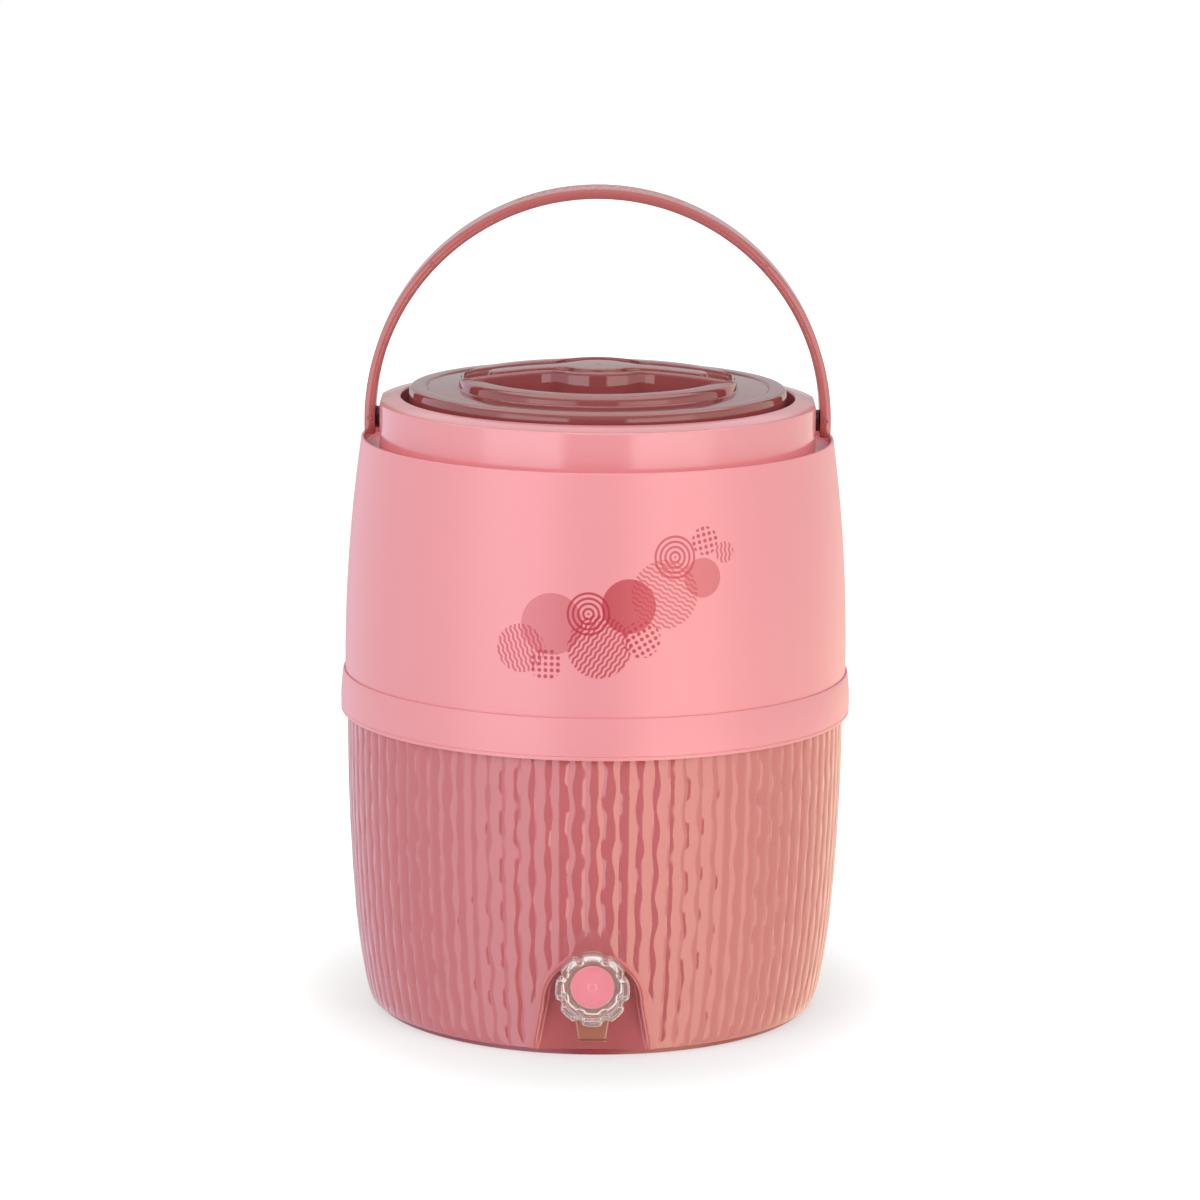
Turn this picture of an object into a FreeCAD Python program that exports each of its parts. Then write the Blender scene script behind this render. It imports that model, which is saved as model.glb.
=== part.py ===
import FreeCAD, Part
import math
import os

# Insulated water jug with a screw lid, a carrying bail and a twist tap. Sizes in millimetres.
# The origin is the middle of the base on the floor, +Z is up, the tap faces -Y,
# and the bail hinges on a line along X.

# Walls and clearances
corner_facets = 3         # flats that stand for a round on the liner and the lid
jacket_wall = 2.5
liner_wall = 2.5
cover_wall = 2.5
foam_gap = 0.3            # between the foam and the shells round it
seat_gap = 0.2            # between parts that lie against each other and move
running_gap = 0.08        # radial, between a turning or sliding part and its bore

# Heights of the body, each counted from the one before it
toe_height = 3.4
knee_rise = 10.6
hip_rise = 46.0
belly_rise = 105.0
joint_rise = 18.0         # the two jackets meet here, behind the band
chest_rise = 17.0
shoulder_rise = 124.8
lip_rise = 3.0
gutter_depth = 5.8        # the folded bail lies in a gutter behind the lip
pivot_rise = 9.8          # from the lip to the bail's pivots
flange_rise = 11.5        # from the gutter to the top of the neck's flange
neck_rise = 13.5

# Widths of the body, from the mouth outwards and down the jackets
mouth_radius = 111.3
mouth_wall = 2.5
collar_width = 13.2
collar_wall = 3.0
collar_edge = 0.8
collar_fall = 3.0         # the collar's top face falls towards the outside
flat_depth = 2.1          # flats on the collar beside the bail's arms
bail_gap = 0.5            # the bail clears the collar's rim by this when it folds
bail_thickness = 6.0
gutter_gap = 0.6
gutter_floor_lap = 4.5    # how far the gutter's floor runs in under the collar
lip_thickness = 1.9
lip_crest = 0.8           # distance of the lip's crest from its inner edge
lip_bulge = 0.22          # share of that by which the lip's top swells
chest_swell = 8.7
belly_step = 1.4
hip_draw = 4.2
knee_draw = 6.3
toe_draw = 3.2
foot_draw = 3.5

# Base plate
rim_height = 4.0          # upstand that centres the plate in the jacket
rim_width = 3.0
plate_fit = 0.4           # between the upstand and the jacket
groove_depth = 1.2
groove_width = 6.0
groove_first = 62.0       # radius of the first groove in the underside
groove_pitch = 22.0
groove_count = 3

# Waist band
band_proud = 2.3
band_taper = 1.1
band_below = 11.8
band_above = 11.6
band_fold = 1.6
band_edge = 0.3

# Inner liner with its neck
foam_thickness = 18.7
liner_floor = 27.5
liner_corner = 10.0
liner_draw = 9.0          # from the widest part down to the floor
liner_shoulder_draw = 4.5
liner_belly_rise = 142.5
shoulder_drop = 23.0      # from the neck's root down to the liner's shoulder
neck_root_rise = 3.0
flange_fit = 0.2          # between the neck's flange and the collar's inner wall
flange_thickness = 2.5
thread_depth = 1.6
lid_thread_depth = 1.2
thread_width = 2.0
thread_pitch = 5.0
thread_turns = 2
thread_gap = 0.5
thread_root = 1.0         # how deep a ridge sits in its wall
thread_rise = 3.5         # from the flange to the neck's lowest ridge

# Lid
lid_gap = 4.4
lid_stand = 4.6           # the deck stands this far above the mouth's edge
lid_skirt_wall = 2.4
lid_skirt_rise = 2.7
bead_rise = 1.7
bead_width = 9.6
bead_slope = 2.4          # width of the bead's inner slope
bead_round = 4.2          # rounding from the bead's top to the skirt
ring_inner_radius = 67.6
ring_width = 11.1
ring_rise = 6.2
ring_draft = 1.0          # the ring's walls stand wider at their feet
ring_edge = 1.6
ring_shoulder = 5.4       # width of the rounding on the ring's outer side
well_depth = 4.1          # floor of the finger wells below the deck
bar_rise = 12.7
bar_arch_radius = 440.0
bar_end_setback = 0.7     # from the ring's outer edge
bar_half_width = 19.5
bar_hub_radius = 33.5
bar_corner = 9.0
bar_waist_round = 14.0    # rounding where the hub runs into the bar
bar_rim = 2.4
bar_edge = 0.8
bar_rib_count = 4         # stiffening ribs across the hollow under the bar
bar_rib_pitch = 30.0
bar_rib_width = 2.0
bar_lap = 1.2             # how far the bar's foot sits in the wells' floor
channel_depth = 2.5
island_setback = 16.0
island_half_width = 6.5
island_hub_radius = 19.0
island_corner = 5.0
island_waist_round = 13.3
plug_gap = 2.3
plug_depth = 25.0
plug_wall = 2.2
plug_corner = 4.0
plug_flange_thickness = 2.5
plug_flange_fit = 0.9
gasket_thickness = 3.3
gasket_fit = 0.8
gasket_lap = 1.4          # how far the gasket runs out over the neck's edge
gasket_edge = 0.8

# Bail and its pivots
bail_inner_rise = 1.0     # centre of the inner curve above the pivots, which thins the top
bail_width = 25.0
bail_lip_gap = 1.2
bail_edge = 1.2
bail_end_gap = 0.1        # the rounding of the arms' ends is wider than the arms by this
grip_half_angle = 21.5
grip_rise = 0.7
grip_flutes = 15
grip_flute_radius = 4.2
grip_flute_depth = 0.9
pin_radius = 3.0
pin_head_radius = 5.0
pin_head_thickness = 1.8
pin_recess = 0.3
pin_depth = 6.0
washer_radius = 6.1
boss_half_width = 21.0
boss_floor = 1.5          # left behind the pin's blind bore

# Tap recess: an arch in the front of the lower jacket
recess_setback = 3.5
recess_radius = 26.6
recess_flare = 5.2
arch_drop = 14.3          # the arch's centre lies this far under the tap's axis

# Tap, from the recess forwards
boss_radius = 16.0
boss_outside = 3.8
boss_inside = 4.0
boss_lift = 0.3           # the liner's boss clears its floor
tap_gasket_thickness = 1.5
tap_gasket_lap = 0.6
nut_across_flats = 24.0
nut_thickness = 5.5
shank_radius = 8.0
shank_bore = 5.0
shank_proud = 2.5
flange_radius = 11.5
tap_flange_thickness = 3.0
neck_barrel_radius = 10.6
seat_setback = 4.5
duct_setback = 1.5
duct_depth = 8.7
duct_half_width = 5.0
spout_wall = 2.1
spout_drop = 33.7
spout_half_width = 7.4
spout_slope = 0.165
spout_edge = 1.0
chamber_radius = 9.2
housing_radius = 14.5
housing_length = 7.6

# Valve: the stem slides in the bonnet and the knob's sleeve
valve_radius = 6.2
valve_thickness = 2.0
valve_head_thickness = 1.8
valve_lift = 3.0
stem_radius = 3.0
stem_end_gap = 0.6
nub_radius = 1.5
nub_gap = 0.3
bonnet_thickness = 2.4
o_ring_wire = 0.85
o_ring_room = 0.1
retainer_thickness = 1.4
retainer_fit = 0.3

# Knob with its cap
sleeve_wall = 2.42
sleeve_groove = 0.6
clip_thickness = 0.8
clip_reach = 1.7
clip_opening = 3.0
knob_gap = 0.4
knob_radius = 20.5
knob_notch_depth = 2.2
knob_lobes = 8
knob_lobe_share = 0.62    # part of each eighth that a lobe takes
knob_flank_share = 0.45   # part of each half notch that its flank takes
knob_skirt_radius = 17.5
knob_wall = 2.2
knob_crown_wall = 4.1      # the thick lobed ring in front of the skirt
knob_inner_notch = 0.9     # how far the ring's lobes show on its inside
knob_edge = 0.9
knob_rim_depth = 6.5
knob_rim_step = 1.5
socket_depth = 2.5
dish_thickness = 2.6
cap_radius = 12.0
cap_thickness = 2.0
cap_seat_depth = 1.2
cap_edge = 0.5

# Heights that follow
knee_height = toe_height + knee_rise
hip_height = knee_height + hip_rise
belly_height = hip_height + belly_rise
joint_height = belly_height + joint_rise
chest_height = joint_height + chest_rise
shoulder_height = chest_height + shoulder_rise
lip_height = shoulder_height + lip_rise
gutter_height = lip_height - gutter_depth
pivot_height = lip_height + pivot_rise
flange_height = gutter_height + flange_rise
neck_height = flange_height + neck_rise
neck_root_height = gutter_height + neck_root_rise
gasket_bottom = neck_height + seat_gap / 2
plug_flange_bottom = gasket_bottom + gasket_thickness + seat_gap
deck_height = plug_flange_bottom + plug_flange_thickness + cover_wall
mouth_height = deck_height - lid_stand
collar_height = mouth_height - collar_fall
ring_height = deck_height + ring_rise
bar_height = deck_height + bar_rise
well_floor = deck_height - well_depth
plug_bottom = neck_height - plug_depth

# Widths that follow
collar_radius = mouth_radius + collar_width
collar_flat = collar_radius - flat_depth
bail_inner_radius = math.hypot(collar_radius, collar_height - pivot_height) + bail_gap
bail_radius = bail_inner_radius + bail_thickness
gutter_radius = bail_radius + gutter_gap
shoulder_radius = gutter_radius + lip_thickness
chest_radius = shoulder_radius + chest_swell
belly_radius = chest_radius - belly_step
hip_radius = belly_radius - hip_draw
knee_radius = hip_radius - knee_draw
toe_radius = knee_radius - toe_draw
foot_radius = toe_radius - foot_draw
liner_belly_radius = belly_radius - jacket_wall - foam_thickness
liner_base_radius = liner_belly_radius - liner_draw
lid_radius = mouth_radius - lid_gap
skirt_inner_radius = lid_radius - lid_skirt_wall
neck_radius = skirt_inner_radius - lid_thread_depth - thread_gap - thread_depth
plug_radius = neck_radius - liner_wall - plug_gap
ring_outer_radius = ring_inner_radius + ring_width
bar_half_length = ring_outer_radius - bar_end_setback

# Places along the tap, as distances from the jug's axis towards the front
tap_height = liner_floor + liner_wall + boss_radius + boss_lift
recess_reach = toe_radius - recess_setback
boss_front = liner_base_radius + boss_outside
boss_back = liner_base_radius - boss_inside
nut_front = boss_back - tap_gasket_thickness
shank_end = nut_front - nut_thickness - shank_proud
flange_back = recess_reach + tap_gasket_thickness
seat_reach = flange_back + seat_setback
washer_back = seat_reach + seat_gap / 2
head_back = washer_back + valve_thickness
duct_back = seat_reach + duct_setback
duct_front = duct_back + duct_depth
bonnet_back = duct_front + seat_gap
bonnet_front = bonnet_back + bonnet_thickness
sleeve_back = bonnet_front + seat_gap
clip_back = sleeve_back + sleeve_groove
retainer_back = clip_back + clip_thickness + seat_gap
housing_front = retainer_back + retainer_thickness
knob_back = housing_front + knob_gap
dish_back = knob_back + socket_depth
dish_front = dish_back + dish_thickness
rim_back = dish_front + knob_rim_step
knob_front = rim_back + knob_rim_depth
stem_tip = dish_back - valve_lift - stem_end_gap
cap_back = dish_front - cap_seat_depth
bonnet_middle = (bonnet_back + bonnet_front) / 2
sleeve_radius = stem_radius + running_gap + sleeve_wall
stem_bore = stem_radius + running_gap
o_ring_groove = stem_bore + 2 * o_ring_wire + o_ring_room
boss_depth = pin_depth + boss_floor

shapes = {}


def at(across, reach, height):
    return FreeCAD.Vector(across, -reach, height)


def rz(radius, height):
    return FreeCAD.Vector(radius, 0, height)


# An arc that leaves start along heading and ends at end: its middle point and its last heading
def arc_through(start, heading, end):
    chord = end - start
    along = FreeCAD.Vector(chord).normalize()
    side = heading - along * heading.dot(along)
    lean = math.atan2(side.Length, heading.dot(along))
    middle = (start + end) * 0.5
    if side.Length > 1e-9:
        middle = middle + side.normalize() * (chord.Length / 2 * math.tan(lean / 2))
    return middle, along * (2 * heading.dot(along)) - heading


# Points along the arc from start through middle to end, without the start
def facets(start, middle, end):
    return Part.Arc(start, middle, end).toShape().discretize(corner_facets + 1)[1:]


# A quarter round of a radius that ends a level line at start and leads down to a wall
def quarter_round(start, radius):
    middle = start + rz(math.sqrt(0.5), math.sqrt(0.5) - 1) * radius
    return [start] + facets(start, middle, start + rz(radius, -radius))


# A closed face from steps: a point is reached by a line, a pair of points by an arc through the first
def outline(steps):
    edges = []
    start = steps[0]
    here = start
    for step in steps[1:] + [start]:
        if isinstance(step, tuple):
            edges.append(Part.Arc(here, step[0], step[1]).toShape())
            here = step[1]
        elif (step - here).Length > 1e-6:
            edges.append(Part.LineSegment(here, step).toShape())
            here = step
    return Part.Face(Part.Wire(edges))


def turned(steps):
    return outline(steps).revolve(FreeCAD.Vector(0, 0, 0), FreeCAD.Vector(0, 0, 1), 360)


def upright(radius, bottom, top):
    return Part.makeCylinder(radius, top - bottom, rz(0, bottom))


def upright_ring(inner, outer, bottom, top):
    return upright(outer, bottom, top).cut(upright(inner, bottom - 1, top + 1))


# A cylinder along the tap's axis, between two reaches
def forward(radius, back, front):
    return Part.makeCylinder(radius, front - back, at(0, back, tap_height), FreeCAD.Vector(0, -1, 0))


def forward_ring(inner, outer, back, front):
    return forward(outer, back, front).cut(forward(inner, back - 1, front + 1))


# A cylinder along the pivots' line on one side, between two distances from the jug's axis
def sideways(radius, near, far, side):
    start = FreeCAD.Vector(side * near, 0, pivot_height)
    return Part.makeCylinder(radius, far - near, start, FreeCAD.Vector(side, 0, 0))


# A block between two opposite corners, given in any order
def block(first, second):
    box = FreeCAD.BoundBox(first, first)
    box.add(second)
    corner = FreeCAD.Vector(box.XMin, box.YMin, box.ZMin)
    return Part.makeBox(box.XLength, box.YLength, box.ZLength, corner)


# Edges of a shape whose whole length passes a test on its points
def edges_where(shape, test):
    chosen = []
    for edge in shape.Edges:
        points = edge.discretize(5)
        if all(test(point) for point in points):
            chosen.append(edge)
    return chosen


# The lower jacket's side, from the toe up to the joint, moved inwards by inset
def lower_side(inset):
    top = rz(belly_radius - inset, joint_height)
    belly = rz(belly_radius - inset, belly_height)
    hip = rz(hip_radius - inset, hip_height)
    knee = rz(knee_radius - inset, knee_height)
    toe = rz(toe_radius - inset, toe_height)
    down = FreeCAD.Vector(0, 0, -1)
    belly_middle, heading = arc_through(belly, down, hip)
    hip_middle, heading = arc_through(hip, heading, knee)
    knee_middle, heading = arc_through(knee, heading, toe)
    return [toe, (knee_middle, knee), (hip_middle, hip), (belly_middle, belly), top]


# Radius of the upper jacket's outside at a height between the chest and the shoulder
def upper_radius(height):
    curve = (shoulder_rise ** 2 + chest_swell ** 2) / (2 * chest_swell)
    return chest_radius - curve + math.sqrt(curve ** 2 - (height - chest_height) ** 2)


# The upper jacket's side, from the joint up to a height, moved inwards by inset
def upper_side(inset, top):
    middle = (chest_height + top) / 2
    end = rz(upper_radius(top) - inset, top)
    return [rz(chest_radius - inset, joint_height),
            rz(chest_radius - inset, chest_height),
            (rz(upper_radius(middle) - inset, middle), end)]


# The liner's outside from the middle of its floor to its neck, moved outwards by grow
def liner_side(grow):
    bend = liner_corner + grow
    floor = rz(liner_base_radius - liner_corner, liner_floor - grow)
    base = rz(liner_base_radius + grow, liner_floor + liner_corner)
    belly = rz(liner_belly_radius + grow, liner_floor + liner_belly_rise)
    shoulder = rz(liner_belly_radius - liner_shoulder_draw + grow, neck_root_height - shoulder_drop)
    root = rz(neck_radius + grow, neck_root_height + grow)
    floor_middle = floor + rz(bend * math.sqrt(0.5), bend * (1 - math.sqrt(0.5)))
    root_middle, heading = arc_through(shoulder, shoulder - belly, root)
    side = [rz(0, liner_floor - grow), floor] + facets(floor, floor_middle, base)
    return side + [belly, shoulder] + facets(shoulder, root_middle, root)


# The recess for the tap, from one reach outwards, with its walls moved outwards by grow
def recess_block(grow, back):
    radius = recess_radius + grow
    foot = radius + recess_flare
    centre = tap_height - arch_drop
    steps = [at(-foot, back, -1), at(-radius, back, centre),
             (at(0, back, centre + radius), at(radius, back, centre)), at(foot, back, -1)]
    return outline(steps).extrude(FreeCAD.Vector(0, back - belly_radius * 2, 0))


def make_lower_jacket():
    solid = turned([rz(0, toe_height)] + lower_side(0) + [rz(0, joint_height)])
    solid = solid.cut(recess_block(0, recess_reach))
    inner = lower_side(jacket_wall)
    hollow = turned([rz(0, toe_height - 1), inner[0] - rz(0, 1)] + inner
                    + [inner[-1] + rz(0, 1), rz(0, joint_height + 1)])
    hollow = hollow.cut(recess_block(jacket_wall, recess_reach - jacket_wall))
    return solid.cut(hollow).cut(forward(shank_radius + seat_gap, 0, recess_reach + 1))


def make_base_plate():
    top = toe_height - seat_gap
    rim_radius = toe_radius - jacket_wall - plate_fit
    rim = upright_ring(rim_radius - rim_width, rim_radius, top, top + rim_height)
    wall_back = recess_reach - jacket_wall - plate_fit
    rim = rim.cut(block(at(-toe_radius, wall_back, top), at(toe_radius, toe_radius, top + rim_height)))
    plate = upright(foot_radius, 0, top).fuse(rim)
    for count in range(groove_count):
        middle = groove_first + count * groove_pitch
        inner = middle - groove_width / 2
        plate = plate.cut(upright_ring(inner, inner + groove_width, -1, groove_depth))
    return plate.removeSplitter()


def make_upper_jacket():
    side = upper_side(0, shoulder_height)
    shoulder = side[-1][1]
    inner_top = gutter_height - jacket_wall
    inner = upper_side(jacket_wall, inner_top)
    crest = rz(gutter_radius + lip_crest, lip_height)
    crest_middle = (shoulder + crest) * 0.5 + rz(lip_crest, lip_crest) * lip_bulge
    floor_end = collar_radius - gutter_floor_lap
    steps = side + [(crest_middle, crest),
                    rz(gutter_radius, lip_height - lip_crest / 2),
                    rz(gutter_radius, gutter_height),
                    rz(floor_end, gutter_height),
                    rz(floor_end, inner_top),
                    inner[2][1],
                    (inner[2][0], inner[1]),
                    inner[0]]
    return turned(steps)


def make_waist_band():
    lower_inside = belly_radius + foam_gap
    upper_inside = chest_radius + foam_gap
    radius = chest_radius + band_proud
    top_radius = radius - band_taper
    bottom = joint_height - band_below
    top = joint_height + band_above
    fold = bottom + band_fold
    middle = rz(radius - band_taper / 4, (fold + top) / 2)
    return turned([rz(lower_inside, bottom),
                   rz(radius - 3 * band_edge, bottom),
                   rz(radius - band_edge, bottom + band_edge),
                   rz(radius, fold),
                   (middle, rz(top_radius, top - band_edge)),
                   rz(top_radius - band_edge, top),
                   rz(upper_inside, top),
                   rz(upper_inside, joint_height),
                   rz(lower_inside, joint_height)])


def make_collar():
    inside = collar_radius - collar_wall
    mouth_outside = mouth_radius + mouth_wall
    slope = collar_fall / collar_width
    ceiling = collar_height - collar_wall
    ring = turned([rz(inside, gutter_height),
                   rz(collar_radius, gutter_height),
                   rz(collar_radius, collar_height - collar_edge),
                   rz(collar_radius - collar_edge, collar_height),
                   rz(mouth_radius + collar_edge, mouth_height - slope * collar_edge),
                   rz(mouth_radius, mouth_height - collar_edge),
                   rz(mouth_radius, flange_height),
                   rz(mouth_outside, flange_height),
                   rz(mouth_outside, ceiling + slope * (inside - mouth_outside)),
                   rz(inside, ceiling)])
    for side in (-1, 1):
        boss = block(FreeCAD.Vector(side * (collar_flat - boss_depth), -boss_half_width, gutter_height),
                     FreeCAD.Vector(side * collar_flat, boss_half_width, ceiling))
        ring = ring.fuse(boss)
        beyond = block(FreeCAD.Vector(side * collar_flat, -collar_radius, gutter_height - 1),
                       FreeCAD.Vector(side * collar_radius * 2, collar_radius, mouth_height))
        ring = ring.cut(beyond)
        ring = ring.cut(sideways(pin_radius + running_gap, collar_flat - pin_depth, collar_flat + 1, side))
    return ring.removeSplitter()


def thread_ridges(inner, outer, first):
    ridges = []
    for turn in range(thread_turns):
        bottom = first + turn * thread_pitch
        ridges.append(upright_ring(inner, outer, bottom, bottom + thread_width))
    return ridges


def make_inner_liner():
    liner = turned(liner_side(0) + [rz(neck_radius, neck_height), rz(0, neck_height)])
    flange_radius_out = mouth_radius + mouth_wall + flange_fit
    liner = liner.fuse(upright(flange_radius_out, flange_height - flange_thickness, flange_height))
    crest = neck_radius + thread_depth
    for ridge in thread_ridges(neck_radius - thread_root, crest, flange_height + thread_rise):
        liner = liner.fuse(ridge)
    top = neck_height + 1
    hollow = turned(liner_side(-liner_wall) + [rz(neck_radius - liner_wall, top), rz(0, top)])
    liner = liner.cut(hollow).fuse(forward(boss_radius, boss_back, boss_front))
    return liner.cut(forward(shank_radius + seat_gap, boss_back - 1, boss_front + 1)).removeSplitter()


def make_foam():
    inset = jacket_wall + foam_gap
    rim_top = toe_height - seat_gap + rim_height + foam_gap
    rim_inside = toe_radius - jacket_wall - plate_fit - rim_width - foam_gap
    top = gutter_height - jacket_wall - foam_gap
    lower = lower_side(inset)
    upper = upper_side(inset, top)
    foam = turned([rz(0, toe_height)] + lower + upper + [rz(0, top)])
    foam = foam.cut(upright_ring(rim_inside, belly_radius * 2, 0, rim_top))
    foam = foam.cut(upright(belly_radius, 0, toe_height - seat_gap + foam_gap))
    foam = foam.cut(recess_block(inset, recess_reach - inset))
    neck = [rz(neck_radius + foam_gap, neck_height), rz(0, neck_height)]
    liner = turned(liner_side(foam_gap) + neck)
    foam = foam.cut(liner).cut(forward(boss_radius + foam_gap, 0, boss_front + foam_gap))
    return foam.cut(forward(shank_radius + foam_gap, 0, belly_radius))


# A bar with rounded corners and a round hub in its middle, as a tall upright block
def bar_block(inset, half_length, half_width, hub_radius, corner, waist, low, high):
    length = half_length - inset
    width = half_width - inset
    radius = hub_radius - inset
    bar = block(FreeCAD.Vector(-length, -width, low), FreeCAD.Vector(length, width, high))
    corners = edges_where(bar, lambda point: abs(abs(point.x) - length) < 1e-6
                          and abs(abs(point.y) - width) < 1e-6)
    bar = bar.makeFillet(corner - inset, corners)
    whole = bar.fuse(upright(radius, low, high)).removeSplitter()
    meet = math.sqrt(radius ** 2 - width ** 2)
    joins = edges_where(whole, lambda point: abs(abs(point.x) - meet) < 0.01
                        and abs(abs(point.y) - width) < 0.01)
    return whole.makeFillet(waist, joins)


def lid_bar(inset, low, high):
    return bar_block(inset, bar_half_length, bar_half_width, bar_hub_radius, bar_corner, bar_waist_round,
                     low, high)


# Everything under the lid bar's arched top, lowered by drop
def under_arch(drop):
    centre = FreeCAD.Vector(0, -lid_radius, bar_height - drop - bar_arch_radius)
    return Part.makeCylinder(bar_arch_radius, 2 * lid_radius, centre, FreeCAD.Vector(0, 1, 0))


def make_lid_cover():
    bead_inner = lid_radius - bead_width
    bead_height = deck_height + bead_rise
    skirt_bottom = flange_height + lid_skirt_rise
    ceiling = deck_height - cover_wall
    underside = ring_height - cover_wall
    shoulder_start = ring_outer_radius - ring_draft - ring_shoulder
    profile = [rz(0, well_floor),
               rz(ring_inner_radius - ring_draft, well_floor),
               rz(ring_inner_radius, ring_height - ring_edge),
               rz(ring_inner_radius + ring_edge, ring_height)]
    profile += quarter_round(rz(shoulder_start, ring_height), ring_shoulder)
    profile += [rz(ring_outer_radius, deck_height),
                rz(bead_inner, deck_height),
                rz(bead_inner + bead_slope, bead_height)]
    profile += quarter_round(rz(lid_radius - bead_round, bead_height), bead_round)
    profile += [rz(lid_radius, skirt_bottom),
                rz(skirt_inner_radius, skirt_bottom),
                rz(skirt_inner_radius, ceiling),
                rz(ring_outer_radius - cover_wall, ceiling),
                rz(shoulder_start, underside),
                rz(ring_inner_radius + cover_wall, underside),
                rz(ring_inner_radius + cover_wall - ring_draft, well_floor - cover_wall),
                rz(0, well_floor - cover_wall)]
    shell = turned(profile)
    crest = neck_radius + thread_depth + thread_gap
    first = flange_height + thread_rise + thread_pitch / 2
    for ridge in thread_ridges(crest, skirt_inner_radius + thread_root, first):
        shell = shell.fuse(ridge)
    low = well_floor - bar_lap
    high = bar_height + 1
    bar = lid_bar(0, low, high).common(under_arch(0))
    bar = bar.makeChamfer(bar_edge, edges_where(bar, lambda point: point.z > deck_height))
    island_half_length = bar_half_length - island_setback
    island = bar_block(0, island_half_length, island_half_width, island_hub_radius, island_corner,
                       island_waist_round, low, high)
    channel = lid_bar(bar_rim, low, high).cut(under_arch(channel_depth)).cut(island)
    hollow = lid_bar(cover_wall, well_floor - 2 * cover_wall, high)
    hollow = hollow.common(under_arch(channel_depth + cover_wall))
    for count in range(bar_rib_count):
        middle = (count - (bar_rib_count - 1) / 2) * bar_rib_pitch
        rib = block(FreeCAD.Vector(middle - bar_rib_width / 2, -bar_hub_radius, low - cover_wall * 2),
                    FreeCAD.Vector(middle + bar_rib_width / 2, bar_hub_radius, high))
        hollow = hollow.cut(rib)
    return shell.fuse(bar).cut(channel).cut(hollow)


def make_lid_inner_cover():
    flange_top = plug_flange_bottom + plug_flange_thickness
    inside = plug_radius - plug_wall
    bend = rz(plug_radius - plug_corner, plug_bottom) + rz(math.sqrt(0.5), 1 - math.sqrt(0.5)) * plug_corner
    return turned([rz(0, plug_bottom),
                   rz(plug_radius - plug_corner, plug_bottom),
                   (bend, rz(plug_radius, plug_bottom + plug_corner)),
                   rz(plug_radius, plug_flange_bottom),
                   rz(skirt_inner_radius - plug_flange_fit, plug_flange_bottom),
                   rz(skirt_inner_radius - plug_flange_fit, flange_top),
                   rz(inside, flange_top),
                   rz(inside, plug_bottom + plug_corner),
                   rz(plug_radius - plug_corner, plug_bottom + plug_wall),
                   rz(0, plug_bottom + plug_wall)])


def make_lid_foam():
    top = well_floor - cover_wall - foam_gap
    radius = plug_radius - plug_wall - foam_gap
    bottom = plug_bottom + plug_wall + foam_gap
    corner = plug_corner
    return turned([rz(0, bottom),
                   rz(radius - corner, bottom),
                   rz(radius, bottom + corner),
                   rz(radius, top),
                   rz(0, top)])


def make_lid_gasket():
    top = gasket_bottom + gasket_thickness
    inner = plug_radius + gasket_fit
    outer = neck_radius + gasket_lap
    edge = gasket_edge
    return turned([rz(inner, gasket_bottom + edge),
                   rz(inner + edge, gasket_bottom),
                   rz(outer - edge, gasket_bottom),
                   rz(outer, gasket_bottom + edge),
                   rz(outer - edge, (gasket_bottom + top) / 2),
                   rz(outer, top - edge),
                   rz(outer - edge, top),
                   rz(inner + edge, top),
                   rz(inner, top - edge)])


def make_bail():
    foot = lip_height + bail_lip_gap
    rise = pivot_height + bail_inner_rise
    half = bail_width / 2

    def spot(across, height):
        return FreeCAD.Vector(across, half, height)

    steps = [spot(-bail_radius, foot),
             spot(-bail_radius, pivot_height),
             (spot(0, pivot_height + bail_radius), spot(bail_radius, pivot_height)),
             spot(bail_radius, foot),
             spot(bail_inner_radius, foot),
             spot(bail_inner_radius, rise),
             (spot(0, rise + bail_inner_radius), spot(-bail_inner_radius, rise)),
             spot(-bail_inner_radius, foot)]
    bail = outline(steps).extrude(FreeCAD.Vector(0, -bail_width, 0))
    long_edges = edges_where(bail, lambda point: abs(abs(point.y) - half) < 1e-6 and point.z > foot + 1e-3)
    bail = bail.makeFillet(bail_edge, long_edges).fuse(grip_pad())
    beyond = bail_radius + bail_thickness
    ends = block(FreeCAD.Vector(-beyond, -bail_width, foot - 1),
                 FreeCAD.Vector(beyond, bail_width, pivot_height))
    ends = ends.cut(sideways(half + bail_end_gap, -beyond - 1, beyond + 1, 1))
    bail = bail.cut(ends)
    head_seat = bail_radius - pin_recess - pin_head_thickness - seat_gap
    for side in (-1, 1):
        bail = bail.cut(sideways(pin_radius + running_gap, bail_inner_radius - 1, bail_radius + 1, side))
        bail = bail.cut(sideways(pin_head_radius + running_gap, head_seat, bail_radius + 1, side))
    return bail


# Raised pad on top of the bail, with finger flutes across it
def grip_pad():
    half = bail_width / 2 - bail_edge
    centre = FreeCAD.Vector(0, half, pivot_height)
    across = FreeCAD.Vector(0, -1, 0)
    pad = Part.makeCylinder(bail_radius + grip_rise, 2 * half, centre, across)
    pad = pad.cut(Part.makeCylinder(bail_radius - bail_thickness / 4, 2 * half, centre, across))
    high = bail_radius * 1.1
    reach = high * math.tan(math.radians(grip_half_angle))
    left = centre + FreeCAD.Vector(-reach, 0, high)
    right = centre + FreeCAD.Vector(reach, 0, high)
    wedge = outline([centre, left, right])
    pad = pad.common(wedge.extrude(across * 2 * half))
    away = bail_radius + grip_rise + grip_flute_radius - grip_flute_depth
    for count in range(grip_flutes):
        angle = math.radians(90 - grip_half_angle + (count + 0.5) * 2 * grip_half_angle / grip_flutes)
        place = centre + FreeCAD.Vector(away * math.cos(angle), 1, away * math.sin(angle))
        pad = pad.cut(Part.makeCylinder(grip_flute_radius, 2 * half + 2, place, across))
    return pad


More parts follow.
